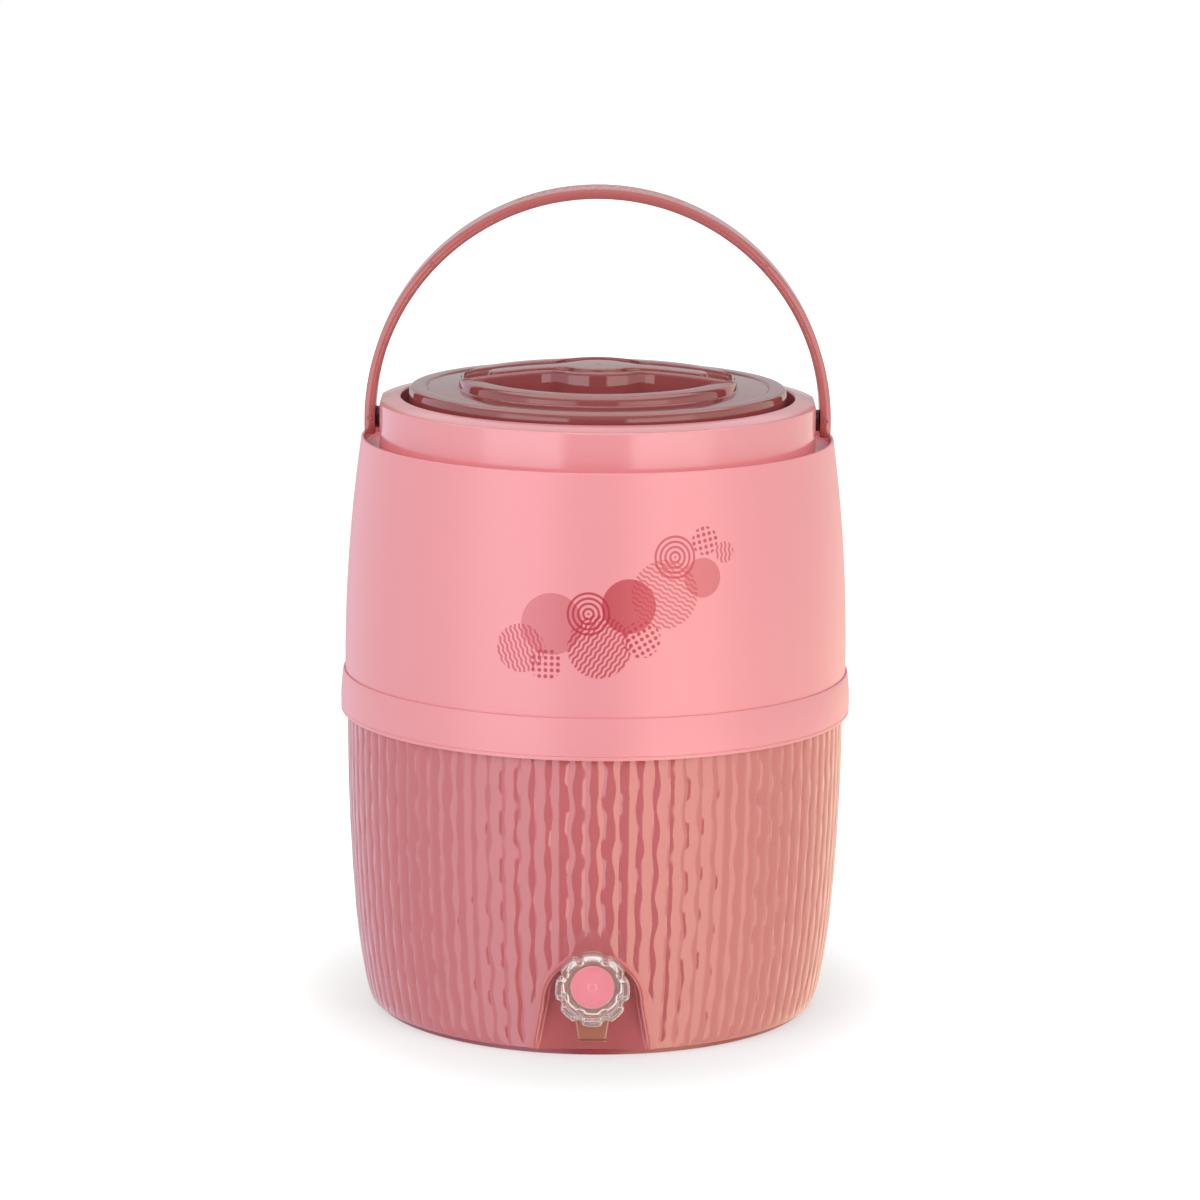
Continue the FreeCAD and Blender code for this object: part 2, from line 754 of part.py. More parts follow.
def make_pivot_pin(side):
    head_face = bail_radius - pin_recess
    head = sideways(pin_head_radius, head_face - pin_head_thickness, head_face, side)
    shank = sideways(pin_radius, collar_flat - pin_depth + seat_gap, head_face, side)
    return head.fuse(shank).removeSplitter()


def make_pivot_washer(side):
    washer = sideways(washer_radius, collar_flat, bail_inner_radius - seat_gap, side)
    return washer.cut(sideways(pin_radius + running_gap, collar_flat - 1, bail_inner_radius + 1, side))


def make_tap_body():
    body = forward(flange_radius, flange_back, flange_back + tap_flange_thickness)
    body = body.fuse(forward(shank_radius, shank_end, flange_back + 1))
    body = body.fuse(forward(neck_barrel_radius, flange_back, housing_front - housing_length + 1))
    body = body.fuse(forward(housing_radius, housing_front - housing_length, housing_front))
    back = duct_back - spout_wall
    front = duct_front + spout_wall
    bottom = tap_height - spout_drop
    top_half = spout_half_width + spout_slope * spout_drop
    spout = outline([at(-spout_half_width, back, bottom), at(-top_half, back, tap_height),
                     at(top_half, back, tap_height), at(spout_half_width, back, bottom)])
    spout = spout.extrude(FreeCAD.Vector(0, back - front, 0))
    corners = [edge for edge in spout.Edges if edge.BoundBox.ZLength > spout_drop / 2]
    body = body.fuse(spout.makeFillet(spout_edge, corners))
    body = body.cut(forward(shank_bore, shank_end - 1, seat_reach + 1))
    body = body.cut(forward(chamber_radius, seat_reach, housing_front + 1))
    duct = block(at(-duct_half_width, duct_front, bottom - 1), at(duct_half_width, duct_back, tap_height))
    return body.cut(duct).removeSplitter()


def make_tap_gasket(back):
    front = back + tap_gasket_thickness
    return forward_ring(shank_radius + seat_gap, flange_radius + tap_gasket_lap, back, front)


def make_tap_nut():
    corner = nut_across_flats / 2 / math.cos(math.radians(30))
    steps = []
    for count in range(6):
        angle = math.radians(60 * count)
        steps.append(at(corner * math.sin(angle), nut_front, tap_height + corner * math.cos(angle)))
    nut = outline(steps).extrude(FreeCAD.Vector(0, nut_thickness, 0))
    return nut.cut(forward(shank_radius + running_gap, shank_end, nut_front + 1))


def make_tap_bonnet():
    bonnet = forward_ring(stem_bore, chamber_radius - running_gap, bonnet_back, bonnet_front)
    half = o_ring_wire + o_ring_room / 2
    return bonnet.cut(forward(o_ring_groove, bonnet_middle - half, bonnet_middle + half))


def make_stem_o_ring():
    place = at(0, bonnet_middle, tap_height)
    return Part.makeTorus(stem_bore + o_ring_wire, o_ring_wire, place, FreeCAD.Vector(0, -1, 0))


def make_knob_retainer():
    inner = sleeve_radius + retainer_fit
    return forward_ring(inner, chamber_radius - running_gap, retainer_back, housing_front)


def make_valve_stem():
    stem = forward(valve_radius, head_back, head_back + valve_head_thickness)
    stem = stem.fuse(forward(stem_radius, head_back, stem_tip))
    return stem.fuse(forward(nub_radius, washer_back + nub_gap, head_back + 1)).removeSplitter()


def make_valve_washer():
    return forward_ring(nub_radius + seat_gap / 2, valve_radius, washer_back, head_back)


def make_knob_clip():
    front = clip_back + clip_thickness
    outer = sleeve_radius + clip_reach
    clip = forward_ring(sleeve_radius - sleeve_groove + running_gap, outer, clip_back, front)
    half = clip_opening / 2
    return clip.cut(block(at(-half, clip_back - 1, tap_height), at(half, front + 1, tap_height + outer + 1)))


def knob_point(radius, degrees, reach):
    angle = math.radians(degrees)
    return at(radius * math.sin(angle), reach, tap_height + radius * math.cos(angle))


# A block along the tap's axis with the knob's lobes, as far out as outer and notched in by notch
def lobed_block(outer, notch, back, front):
    inner = outer - notch
    step = 360.0 / knob_lobes
    half_lobe = step * knob_lobe_share / 2
    flank = (step / 2 - half_lobe) * knob_flank_share
    steps = [knob_point(outer, -half_lobe, back)]
    for count in range(knob_lobes):
        middle = count * step
        following = middle + step - half_lobe
        valley = middle + step / 2
        steps.append((knob_point(outer, middle, back), knob_point(outer, middle + half_lobe, back)))
        steps.append(knob_point(inner, middle + half_lobe + flank, back))
        steps.append((knob_point(inner, valley, back), knob_point(inner, following - flank, back)))
        if count < knob_lobes - 1:
            steps.append(knob_point(outer, following, back))
    return outline(steps).extrude(FreeCAD.Vector(0, back - front, 0))


def make_tap_knob():
    rim = lobed_block(knob_radius, knob_notch_depth, rim_back, knob_front)
    front = edges_where(rim, lambda point: abs(point.y + knob_front) < 1e-6)
    back = edges_where(rim, lambda point: abs(point.y + rim_back) < 1e-6)
    rim = rim.makeFillet(knob_edge, front + back)
    rim = rim.cut(lobed_block(knob_radius - knob_crown_wall, knob_inner_notch, rim_back - 1, knob_front + 1))
    hub_inner = knob_skirt_radius - knob_wall
    knob = rim.fuse(forward(knob_skirt_radius, knob_back, rim_back + knob_wall / 2))
    knob = knob.cut(forward(hub_inner, dish_front, knob_front + 1))
    knob = knob.cut(forward(hub_inner, knob_back - 1, dish_back))
    knob = knob.fuse(forward(sleeve_radius, sleeve_back, dish_back + dish_thickness / 4))
    knob = knob.cut(forward(stem_bore, sleeve_back - 1, dish_back))
    groove_front = clip_back + clip_thickness
    knob = knob.cut(forward_ring(sleeve_radius - sleeve_groove, sleeve_radius + 1, clip_back, groove_front))
    knob = knob.cut(forward(cap_radius + running_gap, cap_back, dish_front + 1))
    return knob.removeSplitter()


def make_knob_cap():
    front = cap_back + cap_thickness
    cap = forward(cap_radius, cap_back, front)
    return cap.makeFillet(cap_edge, edges_where(cap, lambda point: abs(point.y + front) < 1e-6))


os.makedirs("parts", exist_ok=True)
shapes["lower_jacket"] = make_lower_jacket()
shapes["base_plate"] = make_base_plate()
shapes["upper_jacket"] = make_upper_jacket()
shapes["waist_band"] = make_waist_band()
shapes["collar"] = make_collar()
shapes["inner_liner"] = make_inner_liner()
shapes["foam_insulation"] = make_foam()
shapes["lid_cover"] = make_lid_cover()
shapes["lid_inner_cover"] = make_lid_inner_cover()
shapes["lid_foam"] = make_lid_foam()
shapes["lid_gasket"] = make_lid_gasket()
shapes["bail_handle"] = make_bail()
for side, name in ((-1, "left"), (1, "right")):
    shapes["pivot_pin_" + name] = make_pivot_pin(side)
    shapes["pivot_washer_" + name] = make_pivot_washer(side)
shapes["tap_body"] = make_tap_body()
shapes["tap_outer_gasket"] = make_tap_gasket(recess_reach)
shapes["tap_inner_gasket"] = make_tap_gasket(nut_front)
shapes["tap_nut"] = make_tap_nut()
shapes["tap_bonnet"] = make_tap_bonnet()
shapes["stem_o_ring"] = make_stem_o_ring()
shapes["knob_retainer"] = make_knob_retainer()
shapes["valve_stem"] = make_valve_stem()
shapes["valve_washer"] = make_valve_washer()
shapes["knob_clip"] = make_knob_clip()
shapes["tap_knob"] = make_tap_knob()
shapes["knob_cap"] = make_knob_cap()

for name, shape in shapes.items():
    state = "valid" if shape.isValid() else "NOT VALID"
    print(name, state, len(shape.Solids), round(shape.Volume / 1000, 2))
    shape.exportStep("parts/" + name + ".step")
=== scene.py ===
import math
import bmesh
import bpy
from mathutils import Matrix, Vector
from mathutils.kdtree import KDTree


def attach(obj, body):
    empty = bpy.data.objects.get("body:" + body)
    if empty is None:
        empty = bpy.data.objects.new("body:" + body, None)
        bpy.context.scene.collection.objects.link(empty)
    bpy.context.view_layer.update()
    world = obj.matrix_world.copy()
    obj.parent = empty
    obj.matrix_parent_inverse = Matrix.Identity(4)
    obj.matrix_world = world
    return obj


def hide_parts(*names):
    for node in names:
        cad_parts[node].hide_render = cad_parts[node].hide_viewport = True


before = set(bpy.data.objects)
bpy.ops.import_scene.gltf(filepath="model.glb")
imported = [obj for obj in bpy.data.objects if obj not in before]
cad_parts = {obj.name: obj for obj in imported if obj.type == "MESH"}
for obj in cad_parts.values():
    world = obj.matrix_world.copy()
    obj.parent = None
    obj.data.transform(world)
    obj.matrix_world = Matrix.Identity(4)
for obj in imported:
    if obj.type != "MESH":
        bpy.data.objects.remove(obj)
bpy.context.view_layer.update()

# Insulated water jug. Sizes in this file are millimetres, taken to metres by mm.
mm = 0.001
upwards = Vector((0, 0, 1))
forwards = Vector((0, -1, 0))   # the tap's side
rightwards = Vector((1, 0, 0))

# Levels and radii that several pieces share
jug = {
    "toeHeight": 3.4, "kneeHeight": 14.0, "hipHeight": 60.0, "bellyHeight": 165.0, "jointHeight": 183.0,
    "chestHeight": 200.0, "shoulderHeight": 324.8, "lipHeight": 327.8, "gutterHeight": 322.0,
    "pivotHeight": 337.6, "mouthHeight": 351.0, "collarHeight": 348.0, "deckHeight": 355.6,
    "footRadius": 124.03, "toeRadius": 127.53, "kneeRadius": 130.73, "hipRadius": 137.03,
    "bellyRadius": 141.23, "chestRadius": 142.63, "shoulderRadius": 133.93, "gutterRadius": 132.03,
    "collarRadius": 124.5, "collarFlat": 122.4, "mouthRadius": 111.3, "tapHeight": 46.3}
mergeReach = 2e-6   # metres: vertices closer than this are one


# Small tools

def deselectAll():
    if bpy.context.mode != "OBJECT":
        bpy.ops.object.mode_set(mode="OBJECT")
    bpy.ops.object.select_all(action="DESELECT")


def makeActive(piece):
    deselectAll()
    piece.select_set(True)
    bpy.context.view_layer.objects.active = piece


# Selects the vertices, edges or faces that pass a test, in edit mode
def pick(piece, kind, test):
    bpy.ops.mesh.select_mode(type=kind)
    bpy.ops.mesh.select_all(action="DESELECT")
    mesh = bmesh.from_edit_mesh(piece.data)
    for part in {"VERT": mesh.verts, "EDGE": mesh.edges, "FACE": mesh.faces}[kind]:
        part.select_set(test(part))
    mesh.select_flush_mode()
    bmesh.update_edit_mesh(piece.data)


# A mesh of one vertex at a place, in edit mode
def startPoint(name, place):
    deselectAll()
    bpy.ops.mesh.primitive_plane_add(size=mm, location=(0, 0, 0))
    piece = bpy.context.object
    piece.name = name
    piece.data.name = name
    bpy.ops.object.mode_set(mode="EDIT")
    bpy.ops.mesh.select_mode(type="VERT")
    bpy.ops.mesh.merge(type="CENTER")
    bpy.ops.transform.translate(value=place)
    return piece


def extrudeBy(move):
    bpy.ops.mesh.extrude_region_move(TRANSFORM_OT_translate={"value": move})


# Extrudes the one vertex along places, and joins the ends where the line is a loop
def drawLine(piece, places, loop=True):
    for here, there in zip(places, places[1:]):
        extrudeBy(there - here)
    if loop:
        mesh = bmesh.from_edit_mesh(piece.data)
        mesh.verts.ensure_lookup_table()
        mesh.verts[0].select_set(True)
        bmesh.update_edit_mesh(piece.data)
        bpy.ops.mesh.edge_face_add()
    bpy.ops.mesh.select_all(action="SELECT")


# Merges doubles, turns the faces outwards and leaves edit mode
def closeMesh():
    bpy.ops.mesh.select_all(action="SELECT")
    bpy.ops.mesh.remove_doubles(threshold=mergeReach)
    bpy.ops.mesh.normals_make_consistent(inside=False)
    bpy.ops.object.mode_set(mode="OBJECT")


# Draws a profile of (radius, height) and spins it round an axis
def spinProfile(name, profile, steps, centre=(0, 0, 0), axis=upwards, out=rightwards):
    centre = Vector(centre) * mm
    places = [centre + out * (radius * mm) + axis * (height * mm) for radius, height in profile]
    piece = startPoint(name, places[0])
    drawLine(piece, places)
    bpy.ops.mesh.spin(steps=steps, angle=math.tau, center=centre, axis=axis)
    closeMesh()
    return piece


# Builds a skin over rings of equal count, each extruded from the one before and moved to its place
def stackRings(name, rings):
    piece = startPoint(name, rings[0][0])
    drawLine(piece, rings[0])
    for ring, following in zip(rings, rings[1:]):
        finder = KDTree(len(ring))
        for index, place in enumerate(ring):
            finder.insert(place, index)
        finder.balance()
        extrudeBy((0, 0, 0))
        mesh = bmesh.from_edit_mesh(piece.data)
        for vertex in mesh.verts:
            if vertex.select:
                vertex.co = following[finder.find(vertex.co)[1]]
        bmesh.update_edit_mesh(piece.data)
    bpy.ops.mesh.edge_face_add()
    pick(piece, "EDGE", lambda edge: edge.is_boundary)
    bpy.ops.mesh.edge_face_add()
    closeMesh()
    return piece


# Rounds the corners of a profile: a corner is (x, y) or (x, y, radius)
def soften(corners, steps=4, loop=True):
    points = []
    count = len(corners)
    for index, corner in enumerate(corners):
        here = Vector(corner[:2])
        if len(corner) < 3 or not (loop or 0 < index < count - 1):
            points.append((here.x, here.y))
            continue
        before = Vector(corners[index - 1][:2]) - here
        after = Vector(corners[(index + 1) % count][:2]) - here
        half = before.angle(after) / 2
        reach = min(corner[2] / math.tan(half), before.length * 0.49, after.length * 0.49)
        radius = reach * math.tan(half)
        middle = here + (before.normalized() + after.normalized()).normalized() * (radius / math.sin(half))
        first = here + before.normalized() * reach - middle
        last = here + after.normalized() * reach - middle
        turn = first.angle_signed(last)
        for step in range(steps + 1):
            angle = -turn * step / steps
            points.append((middle.x + first.x * math.cos(angle) - first.y * math.sin(angle),
                           middle.y + first.x * math.sin(angle) + first.y * math.cos(angle)))
    return points


# Carries a profile on along an arc that leaves its last point at a heading, and gives the new heading
def arcTo(points, heading, end, steps):
    startX, startY = points[-1]
    length = math.hypot(end[0] - startX, end[1] - startY)
    turn = 2 * (math.atan2(end[1] - startY, end[0] - startX) - heading)
    turn = (turn + math.pi) % math.tau - math.pi
    for step in range(1, steps + 1):
        part = turn * step / steps
        reach = length * step / steps
        if abs(turn) > 1e-6:
            reach = length * math.sin(part / 2) / math.sin(turn / 2)
        points.append((startX + reach * math.cos(heading + part / 2),
                       startY + reach * math.sin(heading + part / 2)))
    return heading + turn


# Points on part of a circle, without the first one where it is already there
def arcPoints(centre, radius, start, end, steps=8, first=0):
    angles = [start + (end - start) * step / steps for step in range(first, steps + 1)]
    return [(centre[0] + radius * math.cos(angle), centre[1] + radius * math.sin(angle)) for angle in angles]


def smoothStep(low, high, value):
    share = min(max((value - low) / (high - low), 0.0), 1.0)
    return share * share * (3 - 2 * share)


def applyModifier(piece, kind, **settings):
    makeActive(piece)
    modifier = piece.modifiers.new(kind.title(), kind)
    for key, value in settings.items():
        setattr(modifier, key, value)
    bpy.ops.object.modifier_apply(modifier=modifier.name)


def cutAway(piece, cutter):
    applyModifier(piece, "BOOLEAN", operation="DIFFERENCE", object=cutter, solver="EXACT")
    bpy.data.objects.remove(cutter)


# Smooths a piece, gives it its finish and lets it ride with its body in place of its nodes
def finishPiece(piece, material, body, nodes=(), angle=32):
    makeActive(piece)
    bpy.ops.object.transform_apply(location=True, rotation=True, scale=True)
    bpy.ops.object.shade_smooth_by_angle(angle=math.radians(angle))
    piece.data.materials.clear()
    piece.data.materials.append(material)
    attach(piece, body)
    if nodes:
        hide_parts(*nodes)
    return piece


# Materials

def hexToLinear(text):
    parts = [int(text[start:start + 2], 16) / 255 for start in (1, 3, 5)]
    return [part / 12.92 if part <= 0.04045 else ((part + 0.055) / 1.055) ** 2.4 for part in parts] + [1.0]


# Adds a node: settings go on the node, values and links on its inputs by name or number
def addNode(tree, kind, inputs=None, **settings):
    node = tree.nodes.new("ShaderNode" + kind)
    for key, value in settings.items():
        setattr(node, key, value)
    for key, value in (inputs or {}).items():
        if isinstance(value, bpy.types.NodeSocket):
            tree.links.new(value, node.inputs[key])
        else:
            node.inputs[key].default_value = value
    return node


# Short forms of addNode: a sum, a range, a blend of two colours, a length, and a noise with its size in mm
def maths(tree, operation, *values):
    return addNode(tree, "Math", dict(enumerate(values)), operation=operation).outputs[0]


def ranged(tree, value, low, high, least=0.0, most=1.0, **settings):
    limits = {"Value": value, "From Min": low, "From Max": high, "To Min": least, "To Max": most}
    return addNode(tree, "MapRange", limits, **settings).outputs[0]


def blended(tree, share, first, second, **settings):
    return addNode(tree, "Mix", {"Factor": share, 6: first, 7: second}, data_type="RGBA",
                   **settings).outputs[2]


def lengthOf(tree, vector):
    return addNode(tree, "VectorMath", {0: vector}, operation="LENGTH").outputs["Value"]


def speckle(tree, place, size, detail, roughness=0.5):
    return addNode(tree, "TexNoise", {"Vector": place, "Scale": 1 / (size * mm), "Detail": detail,
                                      "Roughness": roughness}).outputs["Fac"]


def startMaterial(name):
    material = bpy.data.materials.new(name)
    material.use_nodes = True
    tree = material.node_tree
    tree.nodes.clear()
    return material, tree, addNode(tree, "TexCoord").outputs["Object"]


# Moulded plastic: a little cloudiness in the colour, orange peel in the gloss, and dust-fine scuffs
def mouldedPlastic(look, paint=None):
    material, tree, place = startMaterial(look["name"])
    cloud = speckle(tree, place, look["cloudSize"], 2.0)
    colour = blended(tree, cloud, hexToLinear(look["colour"]), hexToLinear(look["deepColour"]))
    if paint:
        colour = paint(tree, place, colour)
    scuff = speckle(tree, place, look["scuffSize"], 4.0, 0.65)
    rough = ranged(tree, scuff, 0.35, 0.7, look["roughness"] * (1 - look["scuffs"]),
                   look["roughness"] * (1 + look["scuffs"]))
    peel = speckle(tree, place, look["peelSize"], 1.0)
    bump = addNode(tree, "Bump", {"Height": peel, "Strength": look["peelStrength"],
                                  "Distance": look["peelDepth"] * mm})
    shader = addNode(tree, "BsdfPrincipled", {
        "Base Color": colour, "Roughness": rough, "IOR": look["ior"], "Normal": bump.outputs["Normal"],
        "Subsurface Weight": look["milkiness"], "Subsurface Scale": look["milkDepth"] * mm})
    addNode(tree, "OutputMaterial", {"Surface": shader.outputs["BSDF"]})
    return material


# Printed motif on the upper jacket: overlapping discs, hatched, dotted, ringed or filled, in deep rose ink.
# Each disc is (round the jug, height, radius, pattern, turn in degrees, strength).
motif = {
    "ink": "#B3263A", "radius": 141.0, "edge": 0.25,
    "hatchPitch": 2.6, "hatchEdge": (-0.2, 0.25), "swayTurn": 1.3, "sway": 0.35,
    "dotPitch": 3.4, "dotEdge": (1.25, 0.95), "ringPitch": 2.8, "ringEdge": (-0.1, 0.3),
    "discs": [(-41, 232, 13.5, "hatch", 20, 0.72), (-24, 246, 17.0, "filled", 0, 0.46),
              (-27, 224, 9.0, "dots", 0, 0.9), (-4, 252, 12.0, "rings", 0, 0.85),
              (2, 234, 17.5, "hatch", -35, 0.8), (18, 256, 15.0, "filled", 0, 0.78),
              (25, 238, 10.5, "dots", 30, 0.92), (38, 262, 19.0, "hatch", 60, 0.6),
              (44, 282, 12.0, "rings", 0, 0.8), (60, 270, 11.0, "filled", 0, 0.55),
              (62, 290, 8.0, "dots", 10, 0.88), (74, 283, 6.0, "hatch", 0, 0.66)]}


# Wavy lines side by side
def hatchInk(tree, local, length):
    across, along = addNode(tree, "SeparateXYZ", {0: local}).outputs[:2]
    swing = maths(tree, "SINE", maths(tree, "MULTIPLY", along, motif["swayTurn"]))
    swayed = maths(tree, "MULTIPLY_ADD", swing, motif["sway"], across)
    wave = maths(tree, "SINE", maths(tree, "MULTIPLY", swayed, math.tau / motif["hatchPitch"]))
    return ranged(tree, wave, *motif["hatchEdge"])


# A square grid of round dots
def dotInk(tree, local, length):
    half = motif["dotPitch"] / 2
    cell = addNode(tree, "VectorMath", {0: local, 1: (half,) * 3, 2: (-half,) * 3}, operation="WRAP")
    part = addNode(tree, "SeparateXYZ", {0: cell.outputs[0]}).outputs
    flat = addNode(tree, "CombineXYZ", {0: part[0], 1: part[1]}).outputs[0]
    return ranged(tree, lengthOf(tree, flat), *motif["dotEdge"])


# Rings round the disc's middle
def ringInk(tree, local, length):
    wave = maths(tree, "COSINE", maths(tree, "MULTIPLY", length, math.tau / motif["ringPitch"]))
    return ranged(tree, wave, *motif["ringEdge"])


def printMotif(tree, place, colour):
    across, depth, height = addNode(tree, "SeparateXYZ", {0: place}).outputs
    angle = maths(tree, "ARCTAN2", across, maths(tree, "MULTIPLY", depth, -1.0))
    along = maths(tree, "MULTIPLY", angle, motif["radius"])
    spot = addNode(tree, "CombineXYZ", {0: along, 1: maths(tree, "MULTIPLY", height, 1 / mm)}).outputs[0]
    inks = {"hatch": hatchInk, "dots": dotInk, "rings": ringInk}
    for middle, level, radius, pattern, turn, strength in motif["discs"]:
        local = addNode(tree, "Mapping", {"Vector": spot, "Location": (middle, level, 0),
                                          "Rotation": (0, 0, math.radians(turn))},
                        vector_type="TEXTURE").outputs[0]
        length = lengthOf(tree, local)
        cover = ranged(tree, length, radius, radius - motif["edge"])
        if pattern in inks:
            cover = maths(tree, "MULTIPLY", cover, inks[pattern](tree, local, length))
        cover = maths(tree, "MULTIPLY", cover, strength)
        colour = blended(tree, cover, colour, hexToLinear(motif["ink"]))
    return colour


# Lower jacket with its ribs

lowerJacket = {"ribs": 94, "stepsPerRib": 12, "ribDepth": 0.62, "rowPitch": 2.8, "wall": 2.5,
               "innerPitch": 40.0, "toeEdge": 1.0, "footFade": (4.5, 10), "nicheFade": (3.6, 8.5),
               "longWave": 43.0, "shortWave": 25.0, "crest": 0.4, "swell": 0.31, "crestEdge": 0.05,
               "flank": 1.1, "wander": 0.17, "creaseWave": 28.0}
niche = {"radius": 25.6, "flare": 5.6, "drop": 14.3, "plane": 124.03, "margin": 5.6, "clear": 1.2,
         "wall": 1.8, "archSteps": 48, "turnSteps": 56, "legSteps": 12, "deep": 2.8, "proud": 0.5}
nicheCentre = jug["tapHeight"] - niche["drop"]


def lowerSide(inset, rowPitch):
    radius, drop = jug["bellyRadius"] - inset, jug["jointHeight"] - jug["bellyHeight"]
    steps = max(1, round(drop / rowPitch))
    points = [(radius, jug["jointHeight"] - drop * step / steps) for step in range(steps + 1)]
    heading = -math.pi / 2
    for mark in ("hip", "knee", "toe"):
        end = (jug[mark + "Radius"] - inset, jug[mark + "Height"])
        heading = arcTo(points, heading, end, max(2, round((points[-1][1] - end[1]) / rowPitch)))
    return points


sideRows = lowerSide(0, lowerJacket["rowPitch"])


def sideRadius(height):
    for (upperR, upperH), (lowerR, lowerH) in zip(sideRows, sideRows[1:]):
        if height >= lowerH:
            share = (upperH - height) / (upperH - lowerH)
            return upperR + (lowerR - upperR) * max(share, 0.0)
    return sideRows[-1][0]


# How far the niche's arch widens below its centre
def archFlare(z):
    return niche["flare"] * (nicheCentre - z) / (nicheCentre + 1)


# Distance outside the niche's arch, seen from the front
def archDistance(x, z):
    if z >= nicheCentre:
        return math.hypot(x, z - nicheCentre) - niche["radius"]
    return abs(x) - niche["radius"] - archFlare(z)


# Where a column of a rib stands, as a share of the way from its crest's middle to the crease beside it,
# and how far it lies below the crest. The flat crests swell and shrink, and the creases wander too.
def ribColumn(rib, side, column, height):
    start = 2.4 * math.sin(5.3 * rib) + 1.9 * math.sin(2.1 * rib) + (0.7 if side > 0 else 0.0)
    short = math.sin(math.tau * height / lowerJacket["shortWave"] + start)
    long = math.sin(math.tau * height / lowerJacket["longWave"] + 1.7 * start)
    crest = lowerJacket["crest"] + lowerJacket["swell"] * (0.75 * short + 0.25 * long)
    edge, flank = lowerJacket["crestEdge"], 1 - crest
    share = [0.0, crest - edge, crest + edge, crest + 0.38 * flank, crest + 0.72 * flank, 0.965, 1.0][column]
    hollow = max((share - crest) / flank, 0.0) ** lowerJacket["flank"]
    crease = rib + side / 2
    reach = lowerJacket["wander"] * (0.55 + 0.45 * math.sin(3.7 * crease))
    wander = reach * math.sin(math.tau * height / lowerJacket["creaseWave"] + 2.9 * math.sin(4.1 * crease))
    return share * (1 + side * wander * share), hollow * lowerJacket["ribDepth"]


# Moves the outer vertices of the turned shell to the ribs' columns
def shapeRibs(piece):
    ribs, wall = lowerJacket["ribs"], lowerJacket["wall"]
    for vertex in piece.data.vertices:
        x, y, z = vertex.co / mm
        radius = math.hypot(x, y)
        if radius <= sideRadius(z) - wall / 2:
            continue
        place = ribs * math.atan2(x, -y) / math.tau
        rib = round(place)
        side = math.copysign(1, place - rib)
        share, hollow = ribColumn(rib, side, round(abs(place - rib) * lowerJacket["stepsPerRib"]), z)
        fade = smoothStep(*lowerJacket["footFade"], z)
        if y < 0:
            fade *= smoothStep(*lowerJacket["nicheFade"], archDistance(x, z))
        turn = (rib + side * share / 2) * math.tau / ribs
        radius -= hollow * fade
        vertex.co = Vector((radius * math.sin(turn), -radius * math.cos(turn), z)) * mm


# A block in the shape of the niche's arch, through the front wall
def makeArchCutter():
    radius, steps = niche["radius"] + niche["clear"], niche["archSteps"]
    foot = radius + niche["flare"]
    turns = [math.pi * step / steps for step in range(steps + 1)]
    arch = [(-radius * math.cos(turn), nicheCentre + radius * math.sin(turn)) for turn in turns]
    near, far = -90, -180   # inside the jug, and in front of it
    places = [Vector((x, near, z)) * mm for x, z in [(-foot, -1)] + arch + [(foot, -1)]]
    piece = startPoint("archCutter", places[0])
    drawLine(piece, places)
    bpy.ops.mesh.edge_face_add()
    extrudeBy((0, (far - near) * mm, 0))
    closeMesh()
    return piece


def makeLowerJacket():
    wall = lowerJacket["wall"]
    outer = lowerSide(0, lowerJacket["rowPitch"])
    toeRadius, toeHeight = outer.pop()
    outer += soften([outer[-1], (toeRadius, toeHeight, lowerJacket["toeEdge"]),
                     (toeRadius - wall, toeHeight)], 7, False)[1:]
    inner = lowerSide(wall, lowerJacket["innerPitch"])[:-1]
    piece = spinProfile("lowerJacketShell", outer + inner[::-1],
                        lowerJacket["ribs"] * lowerJacket["stepsPerRib"])
    shapeRibs(piece)
    cutAway(piece, makeArchCutter())
    return piece


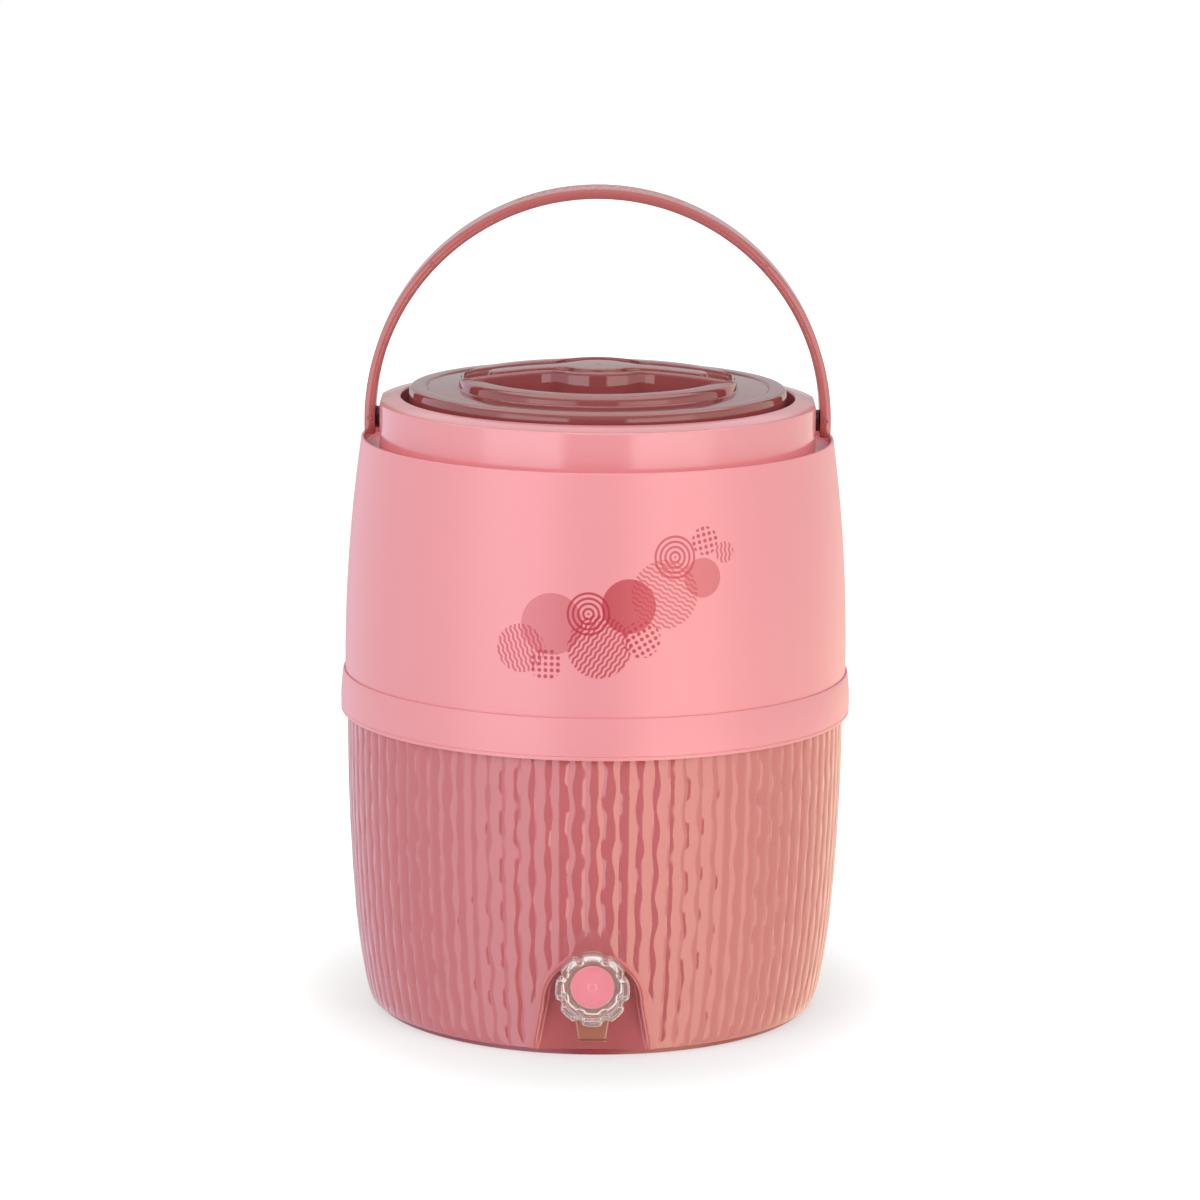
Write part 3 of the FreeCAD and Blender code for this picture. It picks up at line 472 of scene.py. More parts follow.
# The niche for the tap: a raised margin that wraps into the arch, its wall, and the flat face behind the tap.
# Section points are (distance outside the arch, lift off the jacket), then (distance, share of the depth).
def makeNiche():
    margin, plane, legs = niche["margin"], niche["plane"], niche["legSteps"]
    section = [(margin, -0.3), (margin - 0.9, -0.06), (margin - 1.9, 0.12), (margin - 2.8, 0.2), (2.2, 0.16),
               (1.5, -0.05), (0.8, -0.5), (0.3, -1.1), (0.0, -1.9)]
    wall = [(-0.05, 0.35), (-0.1, 0.7), (-0.2, 1.0)]
    cove = [(-0.35, 0.6), (-0.75, 0.22), (-1.3, 0.05), (-2.0, 0.0)]
    # Each point's row number stands in for its depth until the arch is complete
    places = [Vector((niche["radius"] + offset, row, nicheCentre)) * mm
              for row, (offset, depth) in enumerate(section + wall + cove)]
    piece = startPoint("tapNiche", places[0])
    drawLine(piece, places, False)
    bpy.ops.mesh.spin(steps=niche["turnSteps"], angle=math.pi, center=(0, 0, nicheCentre * mm),
                      axis=(0, 1, 0))
    for side in (-1, 1):
        pick(piece, "VERT",
             lambda vertex: abs(vertex.co.z / mm - nicheCentre) < 0.01 and vertex.co.x * side > 0)
        for step in range(legs):
            extrudeBy((0, 0, -(nicheCentre - jug["toeHeight"]) / legs * mm))
    bpy.ops.mesh.select_all(action="DESELECT")
    mesh = bmesh.from_edit_mesh(piece.data)
    for vertex in mesh.verts:
        x, row, z = vertex.co / mm
        row = round(row)
        if z < nicheCentre:
            x += math.copysign(archFlare(z), x)
        surface = math.sqrt(sideRadius(z) ** 2 - x * x)
        share = min(max((surface - plane) / niche["deep"], 0.0), 1.0)
        top, bottom = surface + section[-1][1] * share, plane + share
        if row < len(section):
            lift = section[row][1]
            reach = surface + (lift * share if lift < 0 and row > 2 else lift)
        elif row < len(section + wall):
            reach = top + (bottom - top) * wall[row - len(section)][1]
        else:
            reach = plane + cove[row - len(section + wall)][1] * share
        vertex.co = Vector((x, -min(reach, surface + niche["proud"]), z)) * mm
    bmesh.update_edit_mesh(piece.data)
    innermost = cove[-1][0] + 0.05
    pick(piece, "EDGE", lambda edge: edge.is_boundary and all(
        archDistance(vertex.co.x / mm, vertex.co.z / mm) < innermost for vertex in edge.verts))
    bpy.ops.mesh.edge_face_add()
    closeMesh()
    applyModifier(piece, "SOLIDIFY", thickness=niche["wall"] * mm, offset=-1)
    return piece


# Upper jacket, waist band, base and collar

upperJacket = {"steps": 256, "wall": 2.5, "floorEnd": 120.0, "outerSteps": 28, "innerSteps": 10}
waistBand = {"steps": 256, "proud": 2.3, "taper": 1.1, "lean": 0.035, "bottom": 171.2, "top": 194.6,
             "bead": 1.6, "line": 0.35, "inside": 0.3}
basePlate = {"steps": 256, "top": 3.2, "edge": 0.9, "groove": 1.2, "grooves": (62.0, 84.0, 106.0),
             "width": 6.0, "slant": 0.4}
collar = {"steps": 288, "wall": 3.0, "mouthWall": 2.5, "edge": 1.0, "foot": 1.9, "cove": 2.2, "flange": 333.5}


def makeUpperJacket():
    radius, wall, end = jug["chestRadius"], upperJacket["wall"], upperJacket["floorEnd"]
    shoulder, gutter, floor = jug["shoulderRadius"], jug["gutterRadius"], jug["gutterHeight"]
    points = [(radius, jug["jointHeight"]), (radius, jug["chestHeight"])]
    arcTo(points, math.pi / 2, (shoulder, jug["shoulderHeight"]), upperJacket["outerSteps"])
    points += soften([points[-1], (shoulder - 0.3, jug["lipHeight"], 1.3),
                      (gutter, jug["lipHeight"] - 0.1, 0.5), (gutter, floor, 1.0), (end, floor)],
                     4, False)[1:]
    inner = [(radius - wall, jug["jointHeight"]), (radius - wall, jug["chestHeight"])]
    arcTo(inner, math.pi / 2, (shoulder - wall - 0.1, floor - wall), upperJacket["innerSteps"])
    inner.append((end, floor - wall))
    return spinProfile("upperJacketShell", points + inner[::-1], upperJacket["steps"])


def makeWaistBand():
    outer = jug["chestRadius"] + waistBand["proud"]
    low, high, line = waistBand["bottom"], waistBand["top"], waistBand["line"]
    bead, end = low + waistBand["bead"], outer - waistBand["taper"]
    inside = waistBand["inside"]
    upperInside, lowerInside = jug["chestRadius"] + inside, jug["bellyRadius"] + inside
    points = soften([(lowerInside, low), (outer, low, 0.5), (outer, bead, 0.3),
                     (outer - line, bead + 0.25, 0.1), (outer - line, bead + 0.5, 0.1),
                     (outer, bead + 0.9, 0.3)], 3, False)
    arcTo(points, math.pi / 2 - waistBand["lean"], (end, high - 0.6), 8)
    points += [(end - 0.12, high - 0.2), (end - 0.5, high), (upperInside, high),
               (upperInside, jug["jointHeight"]), (lowerInside, jug["jointHeight"])]
    return spinProfile("waistBandHoop", points, waistBand["steps"])


def makeBasePlate():
    radius, top, slant = jug["footRadius"], basePlate["top"], basePlate["slant"]
    corners = [(0, 0)]
    for middle in basePlate["grooves"]:
        near, far = middle - basePlate["width"] / 2, middle + basePlate["width"] / 2
        corners += [(near, 0, slant), (near + slant, basePlate["groove"], slant),
                    (far - slant, basePlate["groove"], slant), (far, 0, slant)]
    corners += [(radius, 0, basePlate["edge"]), (radius, top), (0, top)]
    return spinProfile("basePlateDisc", soften(corners, 3), basePlate["steps"])


def makeCollar():
    outside, mouth = jug["collarRadius"], jug["mouthRadius"]
    gutter, foot = jug["gutterHeight"], collar["foot"]
    inside, mouthOutside = outside - collar["wall"], mouth + collar["mouthWall"]
    slope = (jug["mouthHeight"] - jug["collarHeight"]) / (outside - mouth)
    ceiling = jug["collarHeight"] - collar["wall"]
    profile = soften([(inside, gutter), (outside + foot, gutter), (outside, gutter + foot, collar["cove"]),
                      (outside, jug["collarHeight"], collar["edge"]),
                      (mouth, jug["mouthHeight"], collar["edge"]), (mouth, collar["flange"]),
                      (mouthOutside, collar["flange"]),
                      (mouthOutside, ceiling + slope * (inside - mouthOutside)), (inside, ceiling)], 5)
    piece = spinProfile("mouthCollar", profile, collar["steps"])
    makeActive(piece)
    bpy.ops.object.mode_set(mode="EDIT")
    for side in (-1, 1):
        bpy.ops.mesh.select_all(action="SELECT")
        bpy.ops.mesh.bisect(plane_co=(side * jug["collarFlat"] * mm, 0, 0), plane_no=(side, 0, 0),
                            use_fill=True, clear_outer=True)
    bpy.ops.object.mode_set(mode="OBJECT")
    return piece


# Lid: a turned cover with its ring and bead, and the grip bar across it

lid = {"steps": 256, "wellFloor": 351.5, "ringInner": 67.6, "ringOuter": 78.7, "ringHeight": 361.8,
       "rim": 106.9, "skirtWall": 2.4, "skirtBottom": 336.2, "skirtEdge": 0.8, "beadInner": 97.3,
       "beadRise": 0.7, "grooveDepth": 0.4, "wall": 2.5, "barInset": 1.2, "channelFoot": 358.8}
lidBar = {"halfLength": 78.0, "halfWidth": 19.5, "hub": 33.5, "corner": 9.0, "waist": 14.0, "height": 368.3,
          "archRadius": 440.0, "rim": 2.4, "channel": 2.5, "islandLength": 62.0, "islandWidth": 6.5,
          "islandHub": 19.0, "islandCorner": 5.0, "gate": 2.2, "gateDepth": 0.45, "gateStretch": 2.5}


# Under the bar's ends the raised ring is levelled, so that its crown stays below the bar's channel
def levelRing(disc):
    alongX, alongY = lidBar["halfLength"] - lidBar["corner"], lidBar["halfWidth"] - lidBar["corner"]
    foot, start = lid["channelFoot"], lid["ringInner"] - 1.6
    for vertex in disc.data.vertices:
        x, y, z = [value / mm for value in vertex.co]
        aside = math.hypot(max(abs(x) - alongX, 0), max(abs(y) - alongY, 0))
        if aside < lidBar["corner"] - lid["barInset"] and math.hypot(x, y) > start:
            if z > foot:
                vertex.co.z = (foot - 0.4) * mm
            elif z > foot - 3.8:
                vertex.co.z = (foot - 3.0) * mm


def makeLidCover():
    deck, floor, crown, wall = jug["deckHeight"], lid["wellFloor"], lid["ringHeight"], lid["wall"]
    inner, outer, bead, rim = lid["ringInner"], lid["ringOuter"], lid["beadInner"], lid["rim"]
    inside, bottom, edge = rim - lid["skirtWall"], lid["skirtBottom"], lid["skirtEdge"]
    beadTop, groove = deck + lid["beadRise"], deck - lid["grooveDepth"]
    profile = soften([(0, floor), (inner - 0.9, floor, 2.2), (inner, crown, 0.8),
                      (outer - 0.7, crown - 0.4, 4.0), (outer + 0.4, deck, 0.9), (bead - 1.2, deck, 0.3),
                      (bead - 0.9, groove, 0.2), (bead - 0.5, groove, 0.2), (bead, beadTop, 0.9),
                      (rim - 0.9, beadTop - 0.3, 2.2), (rim, deck - 3.4, 3.0), (rim, bottom, edge),
                      (inside, bottom, edge), (inside, deck - wall, 2.0), (outer - 1.8, deck - wall),
                      (outer - 4.6, crown - 4.0), (inner + 2.0, crown - 3.1), (inner + 1.4, floor - wall),
                      (0, floor - wall)], 6)
    disc = spinProfile("lidCoverDisc", profile, lid["steps"])
    levelRing(disc)
    return disc


# The bar's outline: round its corner and a hollow to its hub in one quarter, mirrored to all four
def barOutline(length, width, hub, corner, waist, inset):
    length, width, hub, waist = length - inset, width - inset, hub - inset, waist + inset
    corner = max(corner - inset, 0.6)
    hollowX = math.sqrt((hub + waist) ** 2 - (width + waist) ** 2)
    meet = math.atan2(width + waist, hollowX)
    end = length - corner
    quarter = [(length, 0.0), (length, (width - corner) / 2)]
    quarter += arcPoints((end, width - corner), corner, 0, math.pi / 2)
    quarter += [(end + (hollowX - end) * step / 5, width) for step in range(1, 5)]
    quarter += arcPoints((hollowX, width + waist), waist, -math.pi / 2, meet - math.pi)
    quarter += arcPoints((0, 0), hub, meet, math.pi / 2, first=1)
    upper = quarter[:-1] + [(-x, y) for x, y in reversed(quarter[1:])]
    return upper + [(-x, -y) for x, y in upper]


def makeLidBar():
    top, arch, rim, channel = lidBar["height"], lidBar["archRadius"], lidBar["rim"], lidBar["channel"]
    floor, gate = lid["wellFloor"], lidBar["gate"]

    def barRing(inset, drop=0.0, level=None, kind="half", share=1.0):
        names = {"half": ("halfLength", "halfWidth", "hub", "corner"),
                 "island": ("islandLength", "islandWidth", "islandHub", "islandCorner")}[kind]
        outline = barOutline(*[lidBar[name] for name in names], lidBar["waist"], inset)
        outline = [(x * share, y * share) for x, y in outline]
        arched = top - arch - drop
        return [Vector((x, y, arched + math.sqrt(arch ** 2 - x * x) if level is None else level)) * mm
                for x, y in outline]

    # The last rings are round: the mark that the mould's gate leaves
    def gateRing(radius, drop):
        turns = [math.atan2(point.y * lidBar["gateStretch"], point.x) for point in island[-1]]
        return [Vector((radius * math.cos(turn), radius * math.sin(turn), top - drop)) * mm for turn in turns]

    foot = [(-1.2, -1.2), (-1.2, -0.05), (-0.5, 0.35), (-0.1, 1.3), (0.25, 4.5)]
    edge = [(0.5, 2.7), (0.7, 1.7), (1.05, 0.85), (1.5, 0.3), (1.9, 0.05), (2.15, 0.03), (rim, 0.25),
            (rim + 0.15, 0.7), (rim + 0.3, channel - 0.7), (rim + 0.6, channel - 0.2), (rim + 1.2, channel)]
    raised = [(-1.2, channel), (-0.5, channel - 0.15), (-0.15, channel - 0.6), (0.0, channel - 1.3),
              (0.1, 0.6), (0.28, 0.22), (0.6, 0.02), (1.2, -0.1)]
    island = [barRing(inset, drop, kind="island") for inset, drop in raised]
    rings = [barRing(inset, level=floor + rise) for inset, rise in foot]
    rings += [barRing(inset, drop) for inset, drop in edge] + island
    rings += [barRing(1.2, -0.1 - 0.15 * (1 - share), kind="island", share=share)
              for share in (0.85, 0.7, 0.55, 0.4, 0.25)]
    rings += [gateRing(gate + 0.5, -0.25), gateRing(gate, -0.18), gateRing(gate - 0.35, 0.1),
              gateRing(gate - 0.8, lidBar["gateDepth"])]
    return stackRings("lidGripBar", rings)


# Bail with its grip, and what it turns on

bail = {"innerRadius": 125.43, "outerRadius": 131.43, "innerRise": 0.1, "width": 25.0, "edge": 0.9,
        "crown": 0.7, "foot": 329.0, "gripHalfAngle": 21.5, "gripRise": 0.2, "gripWidth": 22.6,
        "gripFade": 0.8, "flutes": 15, "fluteDepth": 0.95, "flutePoints": 10, "armSteps": 40,
        "endRadius": 12.6, "mark": 1.5, "markAngles": (0.5, 43.5, 136.5, 179.5)}
pivot = {"pinRadius": 3.0, "pinTail": 116.6, "headRadius": 5.0, "headFace": 131.13, "headThickness": 1.8,
         "headSeat": 129.13, "headSlack": 0.15, "pinSlack": 0.08, "dimple": 1.4, "dimpleDepth": 0.4,
         "washerRadius": 6.1, "washerOuter": 125.23, "drillFrom": 120, "drillTo": 140}


# One section of the bail as (distance outwards, y), the same count everywhere
def bailSection(halfWidth, thickness):
    edge, rim, share = bail["edge"], bail["gripWidth"] / 2, halfWidth / (bail["width"] / 2)
    points = soften([(0, -halfWidth, edge), (thickness, -halfWidth, edge), (thickness, halfWidth, edge),
                     (0, halfWidth, edge)], 4)
    crown = [(thickness * part, bail["crown"] * (1 - (2 * part - 1) ** 2)) for part in (0.28, 0.5, 0.72)]
    near = [(out, -halfWidth - rise) for out, rise in crown]
    far = [(out, halfWidth + rise) for out, rise in reversed(crown)]
    outside = [(thickness, y * share)
               for y in (-rim, -rim + 0.35, -rim + 0.9, -4.0, 4.0, rim - 0.9, rim - 0.35, rim)]
    inside = [(0, 6.0 * share), (0, -6.0 * share)]
    return points[:5] + near + points[5:10] + outside + points[10:15] + far + points[15:] + inside


# How far the outer face stands out or in: a raised grip, and flutes across it
def gripLift(angle, y):
    half, side = bail["gripHalfAngle"], bail["gripWidth"] / 2
    turn = math.degrees(angle) - 90
    share = 1 - smoothStep(half - 0.5, half + 0.6, abs(turn))
    across = 1 - smoothStep(side - 1.0, side + 0.1, abs(y))
    flute = 0.0
    if abs(turn) < half:
        phase = (turn + half) / (2 * half / bail["flutes"])
        flute = bail["fluteDepth"] * (1 - (2 * (phase % 1) - 1) ** 2)
    return across * (bail["gripRise"] * share - flute)


# The bail's section at an angle above the pivots, or at a drop below one of them
def bailRing(angle, drop):
    thickness = bail["outerRadius"] - bail["innerRadius"]
    width = min(bail["width"] / 2, math.sqrt(bail["endRadius"] ** 2 - drop ** 2))
    ring = []
    for out, y in bailSection(width, thickness):
        radius = bail["innerRadius"] + out
        if out > thickness - 0.01:
            radius += gripLift(angle, y)
        rise = bail["innerRise"] * (1 - out / thickness)
        ring.append(Vector((radius * math.cos(angle), y,
                            jug["pivotHeight"] - drop + rise + radius * math.sin(angle))) * mm)
    return ring


def makeBail():
    half, steps, fade = bail["gripHalfAngle"], bail["armSteps"], bail["gripFade"]
    reach = jug["pivotHeight"] - bail["foot"]
    drops = [reach, reach - 0.3, reach * 0.75, reach * 0.5, reach * 0.25]
    arm = [math.radians(90 - half - fade) * step / steps for step in range(steps)]
    count = bail["flutes"] * bail["flutePoints"]
    grip = [-fade, -fade / 2] + [2 * half * step / count for step in range(count + 1)]
    grip += [2 * half + fade / 2, 2 * half + fade]
    turns = arm + [math.radians(90 - half + turn) for turn in grip]
    turns += [math.pi - angle for angle in reversed(arm)]
    rings = [bailRing(0.0, drop) for drop in drops] + [bailRing(turn, 0.0) for turn in turns]
    rings += [bailRing(math.pi, drop) for drop in reversed(drops)]
    piece = stackRings("bailGrip", rings)
    far = pivot["drillTo"]
    bores = [(pivot["pinRadius"] + pivot["pinSlack"], pivot["drillFrom"]),
             (pivot["headRadius"] + pivot["headSlack"], pivot["headSeat"])]
    for side in (-1, 1):
        for radius, near in bores:
            deselectAll()
            place = (side * (near + far) / 2 * mm, 0, jug["pivotHeight"] * mm)
            bpy.ops.mesh.primitive_cylinder_add(vertices=64, radius=radius * mm, depth=(far - near) * mm,
                                                location=place, rotation=(0, math.pi / 2, 0))
            cutAway(piece, bpy.context.object)
    return piece


# A small raised mark that the mould leaves on an arm's front face
def makeBailMark():
    radius, face = bail["mark"], bail["width"] / 2 + bail["crown"]
    foot, top, middle = face - 0.4, face + 0.25, face + 0.08
    profile = soften([(0, foot), (radius, foot), (radius, top, 0.15), (radius - 0.5, top, 0.12),
                      (radius - 0.7, middle, 0.1), (0, middle)], 3)
    return spinProfile("bailMark", profile, 32, axis=forwards, out=upwards)


# Copies of the mark, each with its own mesh, go to the other angles; the mark itself goes to the first
def placeBailMarks(mark):
    middle = (bail["innerRadius"] + bail["outerRadius"]) / 2
    marks = []
    for number in range(len(bail["markAngles"]) - 1):
        makeActive(mark)
        bpy.ops.object.duplicate(linked=False)
        copy = bpy.context.object
        copy.name = "bailMark" + str(number)
        copy.data.name = copy.name
        marks.append(copy)
    marks.append(mark)
    for piece, degrees in zip(marks, bail["markAngles"][1:] + bail["markAngles"][:1]):
        angle = math.radians(degrees)
        height = jug["pivotHeight"] + middle * math.sin(angle)
        piece.location = Vector((middle * math.cos(angle), 0, height)) * mm
    return marks


# Spins what sits on a pivot, round the line through both
def spinAtPivot(name, profile, side):
    return spinProfile(name, profile, 64, (0, 0, jug["pivotHeight"]), rightwards * side, upwards)


def makePin(side):
    face, head, radius, tail = pivot["headFace"], pivot["headRadius"], pivot["pinRadius"], pivot["pinTail"]
    under, dimple, depth = face - pivot["headThickness"], pivot["dimple"], pivot["dimpleDepth"]
    profile = soften([(0, tail), (radius, tail, 0.5), (radius, under), (head, under), (head, face, 0.6),
                      (dimple, face, 0.2), (dimple - 0.3, face - depth, 0.2), (0, face - depth)], 3)
    return spinAtPivot("pivotPinHead", profile, side)


def makeWasher(side):
    radius, bore = pivot["washerRadius"], pivot["pinRadius"] + pivot["pinSlack"]
    near, far = jug["collarFlat"], pivot["washerOuter"]
    profile = soften([(bore, near), (radius, near, 0.3), (radius, far, 0.4), (bore, far)], 3)
    return spinAtPivot("pivotWasherRing", profile, side)


# Tap with its spout, clear knob and cap; reaches are distances in front of the jug's axis

tap = {"shankBack": 105.0, "shankRadius": 8.0, "bore": 5.0, "flangeBack": 125.53, "flangeThickness": 3.0,
       "flangeRadius": 11.5, "neckRadius": 10.6, "housingBack": 138.43, "housingFront": 146.03,
       "housingRadius": 14.5, "chamberRadius": 9.2, "chamberBack": 130.03, "spoutBack": 129.43,
       "spoutFront": 142.33, "spoutTop": 44.0, "spoutMiddle": 30.0, "spoutBottom": 12.6,
       "spoutHalfWidth": 7.4, "spoutSlope": 0.165, "spoutWall": 2.1, "spoutEdge": 1.0, "leastEdge": 0.25,
       "ductTop": 36.5, "grooveTop": 1.75, "grooveFoot": 0.75, "grooveDepth": 0.9}
knob = {"lobes": 8, "pointsPerLobe": 24, "radius": 20.5, "notch": 2.2, "share": 0.56, "flank": 0.75,
        "hub": 3.7, "crown": 4.1, "innerNotch": 1.4, "lap": 1.3, "sleeve": 5.5, "bore": 3.08, "back": 146.43,
        "dishBack": 148.93, "dishFront": 151.53, "rimBack": 153.03, "front": 159.53, "capSeat": 150.33,
        "sleeveBack": 143.03}
knobCap = {"radius": 12.0, "back": 150.35, "front": 152.33, "edge": 0.75, "gate": 2.4, "seam": 0.35,
           "dip": 0.12}


# Spins a piece round the tap's axis
def spinAtTap(name, profile):
    return spinProfile(name, profile, 128, (0, 0, jug["tapHeight"]), forwards, upwards)


def makeTapBody():
    shank, neck, bore, chamber = tap["shankRadius"], tap["neckRadius"], tap["bore"], tap["chamberRadius"]
    tail, back, flange = tap["shankBack"], tap["flangeBack"], tap["flangeBack"] + tap["flangeThickness"]
    housing, behind, front = tap["housingRadius"], tap["housingBack"], tap["housingFront"]
    profile = soften([(shank, tail, 0.5), (shank, back), (tap["flangeRadius"], back, 0.3),
                      (tap["flangeRadius"], flange, 0.8), (neck, flange, 0.6), (neck, behind, 0.8),
                      (housing, behind, 0.9), (housing, front, 0.6), (chamber, front, 0.4),
                      (chamber, tap["chamberBack"]), (bore, tap["chamberBack"]), (bore, tail)], 4)
    return spinAtTap("tapBarrel", profile)


def makeTapSpout():
    def ring(height, inset, hollow=False):
        halfWidth = tap["spoutHalfWidth"] + tap["spoutSlope"] * (height - tap["spoutBottom"]) - inset
        wall = tap["spoutWall"] if hollow else inset
        back, front = tap["spoutBack"] + wall, tap["spoutFront"] - wall
        edge = max(tap["spoutEdge"] - inset, tap["leastEdge"])
        if hollow:
            halfWidth = tap["bore"]
        outline = soften([(-halfWidth, back, edge), (halfWidth, back, edge), (halfWidth, front, edge),
                          (-halfWidth, front, edge)], 5)
        return [Vector((x, -reach, height)) * mm for x, reach in outline]

    bottom = tap["spoutBottom"]
    high, low, depth = bottom + tap["grooveTop"], bottom + tap["grooveFoot"], tap["grooveDepth"]
    rings = [ring(tap["spoutTop"], 0), ring(tap["spoutMiddle"], 0), ring(high + 0.1, 0), ring(high, 0.1),
             ring(high - 0.05, depth), ring(low + 0.05, depth), ring(low, 0.05), ring(bottom + 0.3, 0.0),
             ring(bottom + 0.08, 0.1), ring(bottom, 0.3), ring(bottom, 0, True),
             ring(tap["ductTop"], 0, True)]
    return stackRings("tapSpout", rings)


# A ring of the knob's lobed outline, drawn in by inset
def lobedRing(inset, reach, notch=knob["notch"]):
    outer, count = knob["radius"] - inset, knob["lobes"] * knob["pointsPerLobe"]
    ring = []
    for index in range(count):
        away = abs(index % knob["pointsPerLobe"] / knob["pointsPerLobe"] - 0.5) * 2
        blend = smoothStep(knob["share"], knob["share"] + (1 - knob["share"]) * knob["flank"], away)
        radius = outer - notch * blend
        angle = math.tau * index / count - math.pi / knob["lobes"]
        height = jug["tapHeight"] + radius * math.cos(angle)
        ring.append(Vector((radius * math.sin(angle), -reach, height)) * mm)
    return ring


def roundRing(radius, reach):
    return lobedRing(knob["radius"] - radius, reach, 0.0)


# The skin runs from the bore over the sleeve and the lobes' back to the rim, and over the crown to the cap
def makeKnob():
    bore, sleeve, hub, lap, crown = knob["bore"], knob["sleeve"], knob["hub"], knob["lap"], knob["crown"]
    tail, back, hollow, rim = knob["sleeveBack"], knob["back"], knob["dishBack"], knob["rimBack"]
    front, dish, seat = knob["front"], knob["dishFront"], knobCap["radius"] + 0.08
    sleeveRings = [(bore, hollow), (bore, tail + 0.3), (bore + 0.3, tail), (sleeve - 0.3, tail),
                   (sleeve, tail + 0.3), (sleeve, hollow - 0.4), (sleeve + 0.4, hollow)]
    backRings = [(hub + 2.4, hollow), (hub + 1.2, hollow - 0.25), (hub + 0.4, hollow - 0.9),
                 (hub, hollow - 1.8), (hub, back + 0.2), (hub - 0.2, back), (lap + 0.4, back),
                 (lap, back + 0.4), (lap, rim - 0.3), (lap - 0.3, rim)]
    rimRings = [(0.9, rim), (0.35, rim + 0.2), (0.08, rim + 0.55), (0, rim + 1.1), (0, front - 1.3),
                (0.1, front - 0.7), (0.4, front - 0.25), (0.95, front)]
    crownRings = [(crown - 0.8, front), (crown - 0.25, front - 0.2), (crown, front - 0.7),
                  (crown + 0.1, dish + 0.5), (crown + 0.2, dish + 0.15), (crown + 0.6, dish)]
    seatRings = [(seat + 0.07, dish), (seat, dish - 0.15), (seat, knob["capSeat"])]
    rings = [roundRing(*spot) for spot in sleeveRings]
    rings += [lobedRing(*spot, knob["innerNotch"]) for spot in backRings]
    rings += [lobedRing(*spot) for spot in rimRings]
    rings += [lobedRing(*spot, knob["innerNotch"]) for spot in crownRings]
    rings += [roundRing(*spot) for spot in seatRings]
    return stackRings("clearKnob", rings)


def makeKnobCap():
    radius, back, front, gate = knobCap["radius"], knobCap["back"], knobCap["front"], knobCap["gate"]
    seam, dip = knobCap["seam"], knobCap["dip"]
    profile = soften([(0, back), (radius, back), (radius, front, knobCap["edge"]), (gate + seam, front, dip),
                      (gate, front - dip, 0.1), (gate - seam, front, dip), (0, front)], 4)
    return spinAtTap("knobCapDisc", profile)


# Finishes of the pieces

# What the moulded finishes share: polypropylene with a faint orange peel from the mould's polish
moulded = {"cloudSize": 50, "scuffSize": 1.5, "scuffs": 0.14, "peelSize": 3.0, "peelStrength": 0.04,
           "peelDepth": 0.05, "ior": 1.49, "milkiness": 0.0, "milkDepth": 1.5}
# Glossy polypropylene of the jackets: the ribbed one is rose, the smooth one pink and more satin
lowerPlastic = dict(moulded, name="roseMouldedPolypropylene", colour="#C86C6F", deepColour="#C3666A",
                    roughness=0.07, cloudSize=60, scuffSize=1.8, peelSize=6.0)
nichePlastic = dict(lowerPlastic, name="satinRosePolypropylene", roughness=0.26, scuffs=0.02,
                    peelStrength=0.01)
upperPlastic = dict(moulded, name="pinkMouldedPolypropylene", colour="#EA999F", deepColour="#E9979D",
                    roughness=0.34, cloudSize=80, scuffSize=2.0, scuffs=0.02, peelSize=5.0, peelStrength=0.02)
collarPlastic = dict(upperPlastic, name="glossyPinkPolypropylene", roughness=0.15)
printedPlastic = dict(upperPlastic, name="printedPinkPolypropylene")
lidPlastic = dict(moulded, name="maroonMouldedPolypropylene", colour="#964A49", deepColour="#924748",
                  roughness=0.05)
bailPlastic = dict(moulded, name="brickMouldedPolypropylene", colour="#B86564", deepColour="#B66362",
                   roughness=0.17, cloudSize=40, scuffSize=1.2, scuffs=0.03, peelSize=2.0, peelStrength=0.02)
basePlastic = dict(moulded, name="darkRoseMouldedPolypropylene", colour="#9A4349", deepColour="#923E45",
                   roughness=0.34, peelSize=2.5, peelStrength=0.1)
# Natural polypropylene for food, which light enters a little
linerPlastic = dict(moulded, name="whiteFoodGradePolypropylene", colour="#E9E7E2", deepColour="#E2E0DA",
                    roughness=0.3, cloudSize=60, peelStrength=0.06, milkiness=0.15)
# ABS of the tap and the knob's cap
tapPlastic = dict(moulded, name="tanMouldedAbs", colour="#B37460", deepColour="#AC6D5A", ior=1.53,
                  roughness=0.13, cloudSize=20, scuffSize=0.8, peelSize=1.5, peelStrength=0.06,
                  peelDepth=0.04)
capPlastic = dict(moulded, name="pinkMouldedAbs", colour="#F796A3", deepColour="#F4909E", ior=1.53,
                  roughness=0.22, cloudSize=12, scuffSize=0.8, peelSize=1.2, peelStrength=0.08,
                  peelDepth=0.04)
# Acetal, slippery and matt. Its dark brown-grey partly stands for the shade between the bail's arm and the
# collar, a painted shade.
washerPlastic = dict(moulded, name="darkAcetalWithPaintedShade", colour="#5E4A48", deepColour="#554240", ior=1.48,
                     roughness=0.38, cloudSize=10, scuffSize=0.6, peelSize=1.0, peelStrength=0.08,
                     peelDepth=0.03)
# Silicone rubber of the gaskets and rings
sealRubber = dict(moulded, name="greySiliconeRubber", colour="#B9B4AE", deepColour="#AEA9A3", ior=1.41,
                  roughness=0.55, cloudSize=15, scuffSize=0.5, peelSize=0.8, peelStrength=0.15,
                  peelDepth=0.03)


